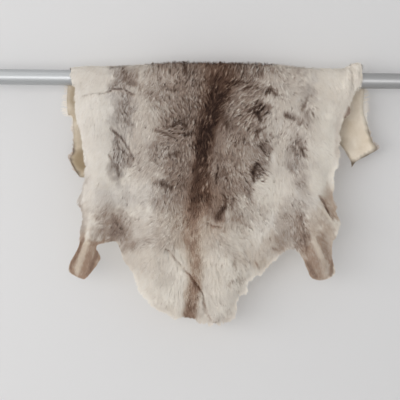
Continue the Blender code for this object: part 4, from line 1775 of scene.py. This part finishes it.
@dataclass
class Skin:
    """The tanned skin: one sheet with its flesh side towards the rail."""

    shape: HideShape
    finish: FleshSide = FleshSide()
    thickness: float = 1.6 * MM
    pitch: float = 0.0078
    body_inset: float = 0.0045
    leg_inset: float = 0.0015
    ragged: float = 0.0012
    wrinkle: float = 0.0009
    wrinkle_fade: float = 0.05  # the wrinkles start over this length below the bend
    rim_width: float = 0.0032
    rim_base: float = 0.25
    rim_fade: float = 0.03  # the rim darkens over this length below the bend

    def rim_shading(self, x: Array, s: Array) -> Array:
        """Tells how much painted shade darkens the cut edge at each place, from 0 to 1."""
        bend = self.shape.bend
        rim_shade = self.rim_base * smooth_step(np.abs(s), bend, bend + self.rim_fade)
        for drop, place, down, radius in SHADED_RIMS:
            away = np.hypot(x - place, s - self.shape.along(drop, down)) / radius
            rim_shade = np.maximum(rim_shade, 1.0 - smooth_step(away, 0.6, 1.3))
        patchy = 0.75 + 0.35 * Grain(13).layered(x, s, 0.016, 2)
        rim = 1.0 - smooth_step(self.shape.edge.at(x, s), 0.5 * self.rim_width, 2.0 * self.rim_width)
        return np.clip(rim_shade * patchy, 0.0, 1.0) * rim

    def stain_and_shade(self, x: Array, s: Array) -> Array:
        """Tells how deeply each place is drawn stained, from 0 to 1: tan stains, with painted shade on the
        back drop's left strip.
        """
        stain_and_shade = np.zeros_like(x)
        for drop, place, down, radius, depth in STAINS_AND_SHADE:
            away = np.hypot(x - place, s - self.shape.along(drop, down)) / radius
            stain_and_shade = np.maximum(stain_and_shade, depth * (1.0 - smooth_step(away, 0.4, 1.2)))
        return stain_and_shade

    def inset(self) -> Array:
        """Works out how far the cut edge stays inside the hair, at each point of the outline."""
        x, s = self.shape.line.T
        grain = Grain(5)
        legs = self.shape.leg(x, s)
        behind = smooth_step(-s, self.shape.bend, 2.0 * self.shape.bend)
        bare = np.maximum(legs, behind)
        inset = self.body_inset + (self.leg_inset - self.body_inset) * bare
        return inset + self.ragged * np.clip(grain.layered(x, s, 0.030), -1.0, 1.0)

    def build(self) -> bpy.types.Object:
        """Makes the sheet.

        Returns:
            The piece.
        """
        flat, faces = self.shape.flat_mesh(self.pitch, self.inset())
        x, s = flat.T
        grain = Grain(7)
        free = smooth_step(np.abs(s), self.shape.bend, self.shape.bend + self.wrinkle_fade)
        wrinkles = grain.layered(x, s, 0.035) + 0.4 * grain.layered(x + 2.0, s, 0.014, 2)
        points = self.shape.flesh(x, s)
        points += self.shape.outward(x, s) * (self.wrinkle * wrinkles * free)[:, None]
        mesh = self.shape.sheet("skin", flat, faces, points)
        set_values(mesh, "rim_shade", self.rim_shading(x, s))
        set_values(mesh, "stain_and_shade", self.stain_and_shade(x, s))
        piece = new_object("skin", mesh, self.finish.material())
        mesh.shade_smooth()
        solid = piece.modifiers.new("thickness", "SOLIDIFY")
        solid.thickness = self.thickness
        solid.offset = 1.0
        return piece


@dataclass
class Underfur:
    """The woolly layer on the skin, under the guard hair."""

    shape: HideShape
    coat: Coat
    finish: WoolUnderfur = WoolUnderfur()
    pitch: float = 0.0062
    depth: float = 0.50
    lump: float = 0.30
    lump_size: float = 0.016
    edge_inset: float = 0.0045  # how far the layer stays inside the outline
    edge_rise: float = 0.016  # where it has risen to its full height
    edge_height: float = 0.0019
    root_tone: float = 0.10
    gap_sink: float = 0.45  # how far it sinks in a parting, as a share of its height
    parting_root_and_shade_tone: float = 0.30  # and how much darker it is drawn there: darker roots and painted shade

    def build(self) -> bpy.types.Object:
        """Makes the layer.

        Returns:
            The piece.
        """
        inset = np.full(len(self.shape.line), self.edge_inset)
        flat, faces = self.shape.flat_mesh(self.pitch, inset)
        x, s = flat.T
        pile = self.shape.pile(x, s)
        grain = Grain(11)
        lumps = 1.0 + self.lump * grain.layered(x, s, self.lump_size, 2)
        gap = self.coat.gap.at(x, s)
        height = self.depth * pile * lumps * (1.0 - self.gap_sink * gap)
        inner = smooth_step(self.shape.edge.at(x, s), self.edge_inset, self.edge_rise)
        height = self.edge_height + (height - self.edge_height) * inner
        points = self.shape.flesh(x, s) + self.shape.outward(x, s) * height[:, None]
        mesh = self.shape.sheet("underfur", flat, faces, points)
        deeper = self.root_tone * (0.3 + 0.7 * self.coat.crisp(x, s))
        # a parting is drawn darker: darker roots and painted shade in the opening
        tone = self.coat.tone.at(x, s) + deeper + self.parting_root_and_shade_tone * gap
        set_values(mesh, "tone", np.clip(tone, 0.0, 1.0))
        set_values(mesh, "warmth", self.coat.warmth.at(x, s))
        mesh.shade_smooth()
        return new_object("underfur", mesh, self.finish.material())


@dataclass(frozen=True)
class Region:
    """A part of the coat that is one joined mesh of hairs."""

    name: str
    drop: Drop
    left: float
    right: float
    hairs: int


REGIONS = (
    Region("coat_front_left", Drop.FRONT, -0.60, -0.170, 39400),
    Region("coat_front_middle", Drop.FRONT, -0.170, 0.110, 39400),
    Region("coat_front_right", Drop.FRONT, 0.110, 0.60, 39400),
    Region("coat_back", Drop.BACK, -0.60, 0.60, 39400),
)


@dataclass
class GuardCoat:
    """The guard hair: tapered blades that lie over each other in locks."""

    shape: HideShape
    coat: Coat
    region: Region
    material: bpy.types.Material
    seed: int
    edge_room: float = 0.0008  # no hair grows nearer than this to the outline
    seam: float = -0.004  # where the front's hair meets the back's, along the skin
    blade: float = 0.00120
    own_turn: float = 8.0  # how unevenly the hairs lie, in degrees
    lock_turn: float = 15.0  # and the locks
    own_bow: float = 14.0  # how far a hair bends from root to tip, in degrees
    own_roll: float = 17.0  # how far it is rolled round its own line, in degrees
    lock_pitch: float = 0.0052
    lock_pull: float = 0.50
    lift: float = 0.34  # where a hair starts, as a share of the coat's depth
    soften: float = 0.74  # how far a blade takes its shading from the skin under it
    ridge_tilt: float = 0.70  # how far the blades over the rail turn to the nearer drop
    stray: float = 0.0008  # how far from its own place a hair takes its colour
    probes: int = 12

    def roots(self, draw: np.random.Generator) -> tuple[Array, Array]:
        """Scatters the hairs over the region.

        Args:
            draw: the source of random numbers.

        Returns:
            The roots' x and s.
        """
        region, shape = self.region, self.shape
        back = region.drop is Drop.BACK
        low = max(region.left, shape.low[0]), shape.low[1] if back else self.seam
        high = min(region.right, shape.high[0]), self.seam if back else shape.high[1]
        found: list[Array] = []
        total = 0
        while total < region.hairs:
            points = draw.uniform(low, high, (region.hairs * 2, 2))
            keep = shape.edge.at(*points.T) > self.edge_room
            short = 1.0 / (1.0 + 1.6 * shape.leg(*points.T))
            thin = draw.uniform(0.0, 1.0, len(points)) < 0.38 / short
            found.append(points[keep & thin])
            total += len(found[-1])
        x, s = np.concatenate(found)[: region.hairs].T
        return x, s

    def locks(self, x: Array, s: Array, draw: np.random.Generator) -> tuple[Array, Array, Array]:
        """Finds the lock that each hair belongs to.

        Args:
            x: the roots' places across the skin.
            s: the roots' places along the skin.
            draw: the source of random numbers.

        Returns:
            The locks' centres as x and s, and one random number for each lock.
        """
        cells = 256
        jitter = draw.uniform(0.1, 0.9, (cells, cells, 2))
        numbers = draw.uniform(-1.0, 1.0, (cells, cells))
        i0 = np.floor(x / self.lock_pitch).astype(int)
        j0 = np.floor(s / self.lock_pitch).astype(int)
        best = np.full(len(x), np.inf)
        centre_x, centre_s, number = np.zeros_like(x), np.zeros_like(x), np.zeros_like(x)
        for di in (-1, 0, 1):
            for dj in (-1, 0, 1):
                i, j = i0 + di, j0 + dj
                cell = i % cells, j % cells
                cx = (i + jitter[cell][:, 0]) * self.lock_pitch
                cs = (j + jitter[cell][:, 1]) * self.lock_pitch
                away = (cx - x) ** 2 + (cs - s) ** 2
                near = away < best
                best = np.where(near, away, best)
                centre_x = np.where(near, cx, centre_x)
                centre_s = np.where(near, cs, centre_s)
                number = np.where(near, numbers[cell], number)
        return centre_x, centre_s, number

    def reach(self, x: Array, s: Array, turn: Array, length: Array) -> Array:
        """Shortens the hairs that would cross a parting or hang too far over the edge.

        Args:
            x: the roots' places across the skin.
            s: the roots' places along the skin.
            turn: which way each hair lies.
            length: the length that each hair would have.

        Returns:
            The length that each hair has.
        """
        share = np.ones_like(x)
        for t in np.linspace(1.0, 0.12, self.probes):
            px = x + t * length * np.sin(turn)
            ps = s + t * length * np.cos(turn)
            stops = self.coat.gap.at(px, ps) > 0.45
            stops |= self.shape.edge.at(px, ps) < -self.coat.overhang(px, ps)
            share = np.where(stops, np.maximum(t - 0.5 / self.probes, 0.12), share)
        return length * share

    def build(self) -> bpy.types.Object:
        """Grows the hairs.

        Returns:
            The piece, one joined mesh.
        """
        draw = np.random.default_rng(self.seed)
        coat, shape = self.coat, self.shape
        x, s = self.roots(draw)
        count = len(x)
        lock_x, lock_s, lock = self.locks(x, s, draw)
        leg = shape.leg(x, s)
        own = draw.normal(0.0, 1.0, (8, count))
        uneven = self.own_turn * own[0] + self.lock_turn * lock
        turn = coat.turn(x, s) + np.radians((1 - 0.8 * leg) * uneven)
        length = coat.length(x, s) * np.clip(1.0 + 0.16 * own[1] + 0.10 * lock, 0.5, 1.5)
        length = self.reach(x, s, turn, length)
        bow = np.radians(self.own_bow * own[2]) * (1 - 0.7 * leg)
        layer = draw.uniform(0.0, 1.0, count)
        full = np.clip(0.62 + 0.30 * layer + 0.10 * lock + 0.04 * own[3], 0.4, 1.08)
        full *= 1.0 - 0.5 * coat.gap.at(x, s)
        # the four levels of a blade, from root to tip: place, width and change of tone
        steps = np.array([0.0, 0.40, 0.72, 1.0])
        widths = np.array([0.80, 1.0, 0.76, 0.0])
        darker = np.array([0.09, 0.03, -0.01, -0.03])
        blade = self.blade * np.clip(1.0 + 0.18 * own[4], 0.6, 1.5) * (1.0 - 0.30 * leg)
        pull = self.lock_pull * (1.0 - 0.6 * leg)
        crisp = coat.crisp(x, s)
        own_tone_and_depth_shade = (0.012 + 0.13 * crisp) * lock + (0.012 + 0.055 * crisp) * own[6]
        # hairs that lie lower in the coat are drawn darker: painted shade from the hairs over them
        own_tone_and_depth_shade += (0.03 + 0.10 * crisp) * (0.5 - layer)
        own_pile = shape.pile(x, s)
        toward = np.where(s > -0.6 * shape.bend, -self.ridge_tilt, self.ridge_tilt)
        levels, tones, warmths = [], [], []
        px, ps, before = x, s, 0.0
        for t, wide, depth_tone in zip(steps, widths, darker):
            heading = turn + bow * (t - 0.5)
            px = px + (t - before) * length * np.sin(heading)
            ps = ps + (t - before) * length * np.cos(heading)
            before = t
            qx = px + pull * t * t * (lock_x - x)
            qs = ps + pull * t * t * (lock_s - s)
            rise = self.lift + (full - self.lift) * (1.0 - (1.0 - t) ** 2)
            depth = 0.5 * np.minimum(shape.pile(qx, qs), own_pile) + 0.5 * own_pile
            facing = shape.outward(qx, qs)
            middle = shape.flesh(qx, qs) + facing * (depth * rise)[:, None]
            tilt = np.stack([0.0 * toward, toward * np.abs(facing[:, 2]), 0.0 * toward], axis=1)
            levels.append((middle, unit(facing + tilt), blade * wide))
            seen = qx + self.stray * own[5], qs + 1.5 * self.stray * own[7]
            tone = coat.tone.at(*seen) + own_tone_and_depth_shade + depth_tone * (0.3 + 0.7 * crisp)
            # the hairs in a parting are drawn darker too: darker roots and painted shade
            tones.append(tone + 0.14 * coat.gap.at(qx, qs))
            warmths.append(coat.warmth.at(*seen) + 0.10 * lock + 0.06 * own[3])
        roll = np.radians(self.own_roll) * own[5] * (0.35 + 0.65 * crisp)
        points, normals = self.blades(levels, roll, self.soften + 0.14 * (1.0 - crisp))
        return self.join(points, normals, tones, warmths)

    def blades(
        self, levels: list[tuple[Array, Array, Array]], roll: Array, soften: Array
    ) -> tuple[Array, Array]:
        """Widens the hairs' middle lines into blades.

        Args:
            levels: from root to tip, the middle points, the way the skin faces and the width.
            roll: how far each blade is rolled round its own line.
            soften: how far each blade takes its shading from the skin under it.

        Returns:
            Seven points for each hair, two at each level and one at the tip, and
            the way each point faces for shading.
        """
        rows, facings = [], []
        for i, (middle, facing, width) in enumerate(levels[:-1]):
            run = unit(levels[i + 1][0] - middle)
            side = unit(np.cross(run, facing))
            up = np.cross(side, run)
            rolled = side * np.cos(roll)[:, None] + up * np.sin(roll)[:, None]
            half = rolled * (0.5 * width)[:, None]
            rows += [middle - half, middle + half]
            own = np.cross(rolled, run)
            facings += [unit(own + (facing - own) * soften[:, None])] * 2
        rows.append(levels[-1][0])
        facings.append(facings[-1])
        return np.stack(rows, axis=1), np.stack(facings, axis=1)

    def join(
        self, points: Array, normals: Array, tones: list[Array], warmths: list[Array]
    ) -> bpy.types.Object:
        """Joins the blades into one mesh with its pigment.

        Args:
            points: seven points for each hair.
            normals: the way each point faces.
            tones: the tone at each level of each hair.
            warmths: the warmth at each level.

        Returns:
            The piece.
        """
        count = len(points)
        # each blade has two four-sided faces and the triangle of its tip
        corners = np.array([0, 1, 3, 2, 2, 3, 5, 4, 4, 5, 6])
        corners = (corners + 7 * np.arange(count)[:, None]).ravel()
        starts = (np.array([0, 4, 8]) + 11 * np.arange(count)[:, None]).ravel()
        mesh = bpy.data.meshes.new(self.region.name)
        mesh.vertices.add(7 * count)
        mesh.vertices.foreach_set("co", points.astype(np.float32).ravel())
        mesh.loops.add(len(corners))
        mesh.loops.foreach_set("vertex_index", corners.astype(np.int32))
        mesh.polygons.add(len(starts))
        mesh.polygons.foreach_set("loop_start", starts.astype(np.int32))
        mesh.update(calc_edges=True)
        level = np.array([0, 0, 1, 1, 2, 2, 3])
        sides = np.array([-0.02, 0.02, -0.02, 0.02, -0.02, 0.02, 0.0])
        tone = np.clip(np.stack(tones, axis=1)[:, level], 0.01, 0.99).ravel()
        warmth = np.stack(warmths, axis=1)[:, level] + sides
        warmth = np.clip(warmth, 0.01, 0.99).ravel()
        set_values(mesh, "tone", tone)
        set_values(mesh, "warmth", warmth)
        # the chart places each corner by its tone and warmth, so one small map holds every colour
        chart = mesh.uv_layers.new(name="OFBake", do_init=False)
        places = np.stack([tone[corners], warmth[corners]], axis=1)
        chart.uv.foreach_set("vector", places.astype(np.float32).ravel())
        mesh.shade_smooth()
        mesh.normals_split_custom_set_from_vertices(normals.reshape(-1, 3))
        return new_object(self.region.name, mesh, self.material)


@dataclass
class Rail:
    """The round tube that the hide hangs over, plain from end to end."""

    low: Vector
    high: Vector
    finish: AnodisedTube = AnodisedTube()
    sides: int = 128
    chamfer: float = 0.0008
    bands: int = 12

    def build(self) -> bpy.types.Object:
        """Makes the tube in the place of the frame's own.

        Returns:
            The piece.
        """
        radius = (self.high.z - self.low.z) / 2
        mesh = bpy.data.meshes.new("rail_tube")
        shape = bmesh.new()
        length = self.high.x - self.low.x
        inner = length - 2 * self.chamfer
        places = [0.0, *(self.chamfer + inner * k / self.bands for k in range(self.bands + 1)), length]
        sizes = [radius - self.chamfer, *[radius] * (self.bands + 1), radius - self.chamfer]
        rings = []
        for place, size in zip(places, sizes):
            ring = []
            for k in range(self.sides):
                angle = 2 * math.pi * k / self.sides
                offset = Vector((place, size * math.cos(angle), size * math.sin(angle)))
                ring.append(shape.verts.new(offset))
            rings.append(ring)
        for near, far in zip(rings, rings[1:]):
            for k in range(self.sides):
                after = (k + 1) % self.sides
                shape.faces.new((near[k], far[k], far[after], near[after]))
        shape.faces.new(rings[0])
        shape.faces.new(rings[-1])
        bmesh.ops.recalc_face_normals(shape, faces=shape.faces)
        middle = (self.low + self.high) / 2
        bmesh.ops.translate(shape, verts=shape.verts, vec=(self.low.x, middle.y, middle.z))
        shape.to_mesh(mesh)
        shape.free()
        mesh.shade_smooth()
        mesh.set_sharp_from_angle(angle=math.radians(30.0))
        return new_object("rail_tube", mesh, self.finish.material())


# ------------------------------------------------------------------- studio


class Falls(Enum):
    """How surfaces take a light."""

    WHOLE = "lights them and glints in them"
    SOFT = "lights them but doesn't glint in them"
    GLINT = "only glints in them"


@dataclass(frozen=True)
class Lamp:
    """A soft light that points at the hide: where it hangs, its power in watts and its face."""

    name: str
    aside: float  # to the right of the hide's middle
    y: float
    z: float
    power: float
    size: tuple[float, float]
    colour: str = "#ffffff"
    falls: Falls = Falls.WHOLE


LAMPS = (
    Lamp("key", -1.8, -4.5, -0.45, 99.0, (4.8, 2.2), "#fffdfa", Falls.SOFT),
    Lamp("side", -3.4, -2.2, -0.2, 16.0, (1.6, 1.6), "#fffdfa", Falls.SOFT),
    Lamp("strip", -0.9, -4.6, -0.20, 4.0, (4.2, 0.32)),
    Lamp("above", -1.0, -2.2, 3.0, 3.0, (4.0, 2.5)),
    # the long highlight on the rail
    Lamp("glint", -0.1, -4.6, -0.60, 74.0, (5.2, 0.60), falls=Falls.GLINT),
    Lamp("upper", -2.6, -2.2, 3.0, 26.0, (2.0, 2.5), falls=Falls.GLINT),
    Lamp("behind", 1.0, 3.4, 1.6, 60.0, (2.6, 2.6), "#fffdf9", Falls.SOFT),
)


@dataclass
class Studio:
    """The camera, the soft lights, the pale floor and the pale backdrop."""

    low: Vector
    high: Vector
    distance: float = 4.0
    frame_width: float = 1.24
    drop: float = 0.375
    roll: float = -0.62
    sensor: float = 36.0
    floor_below: float = 0.85
    backdrop_gap: float = 0.035
    room: float = 9.0
    room_colour: str = "#f5f5f5"
    room_light: float = 0.72

    def camera(self) -> None:
        """Puts the camera square in front of the hide, level, with a slight roll."""
        lens = bpy.data.cameras.new("camera")
        lens.sensor_width = self.sensor
        lens.lens = self.sensor * self.distance / self.frame_width
        eye = bpy.data.objects.new("camera", lens)
        middle = (self.low.x + self.high.x) / 2
        eye.location = (middle, -self.distance, -self.drop)
        eye.rotation_euler = (math.pi / 2, math.radians(self.roll), 0.0)
        bpy.context.scene.collection.objects.link(eye)
        bpy.context.scene.camera = eye

    def sheet(self, name: str, corners: list[tuple], finish: MattPaint) -> bpy.types.Object:
        """Makes one flat sheet of the studio.

        Args:
            name: the sheet's name.
            corners: its four corners, once round.
            finish: its paint.

        Returns:
            The sheet.
        """
        mesh = bpy.data.meshes.new(name)
        mesh.from_pydata(corners, [], [(0, 1, 2, 3)])
        piece = new_object(name, mesh, finish.material())
        piece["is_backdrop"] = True
        return piece

    def surfaces(self) -> None:
        """Lays the floor, and hangs the backdrop close behind the hide.

        The backdrop throws no light or shade on the hide, so the back stays lit.
        """
        left, right = self.low.x - self.room, self.high.x + self.room
        floor = self.low.z - self.floor_below
        near, far = -self.room, self.room
        corners = [(left, near, floor), (right, near, floor), (right, far, floor), (left, far, floor)]
        self.sheet("floor", corners, MattPaint("floor_paint"))
        wall = self.high.y + self.backdrop_gap
        top = self.high.z + self.room / 2
        corners = [(left, wall, floor), (right, wall, floor), (right, wall, top), (left, wall, top)]
        backdrop = self.sheet("backdrop", corners, MattPaint("backdrop_paint", open_behind=True))
        for kind in ("diffuse", "transmission", "shadow", "volume_scatter"):
            setattr(backdrop, f"visible_{kind}", False)

    def light(self, lamp: Lamp) -> None:
        """Hangs one soft light."""
        face = bpy.data.lights.new(lamp.name, "AREA")
        face.energy = lamp.power
        face.shape = "RECTANGLE"
        face.size, face.size_y = lamp.size
        face.color = linear(lamp.colour)[:3]
        holder = bpy.data.objects.new(lamp.name, face)
        target = (self.low + self.high) / 2
        place = Vector((target.x + lamp.aside, lamp.y, lamp.z))
        holder.location = place
        holder.rotation_euler = (target - place).to_track_quat("-Z", "Y").to_euler()
        holder.visible_glossy = lamp.falls is not Falls.SOFT
        holder.visible_diffuse = lamp.falls is not Falls.GLINT
        bpy.context.scene.collection.objects.link(holder)

    def lights(self) -> None:
        """Hangs the lights and sets the light of the room."""
        for lamp in LAMPS:
            self.light(lamp)
        world = bpy.data.worlds.new("room_light")
        world.use_nodes = True
        tree = world.node_tree
        tree.nodes.clear()
        inputs = {"Color": linear(self.room_colour), "Strength": self.room_light}
        glow = add_node(tree, "ShaderNodeBackground", inputs)
        add_node(tree, "ShaderNodeOutputWorld", {0: glow.outputs[0]})
        bpy.context.scene.world = world
        bpy.context.scene.view_settings.view_transform = "Standard"

    def build(self) -> None:
        """Sets up the whole studio."""
        self.camera()
        self.surfaces()
        self.lights()


# --------------------------------------------------------------------- main


def main() -> None:
    """Builds the hide, the rail and the studio, and ties them to the frame."""
    logging.basicConfig(level=logging.INFO, format="%(message)s")
    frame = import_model()
    body = next(iter(frame["bodies"]))
    rail_low, rail_high = (Vector(corner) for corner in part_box("rail"))
    low, high = (Vector(corner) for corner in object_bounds())
    Studio(low, high).build()

    shape = HideShape((rail_high.z - rail_low.z) / 2)
    coat = Coat(shape)
    skin = Skin(shape).build()
    underfur = Underfur(shape, coat).build()
    hair = GuardHair().material()
    coats = [
        GuardCoat(shape, coat, region, hair, seed).build()
        for seed, region in enumerate(REGIONS, start=101)
    ]
    rail = Rail(rail_low, rail_high).build()

    for piece in (skin, underfur, *coats):
        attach(piece, body)
        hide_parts("reindeer_hide")
    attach(rail, body)
    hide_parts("rail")
    for piece in (skin, underfur, *coats, rail):
        LOG.info("%s: %d faces", piece.name, len(piece.data.polygons))


if __name__ == "__main__":
    main()
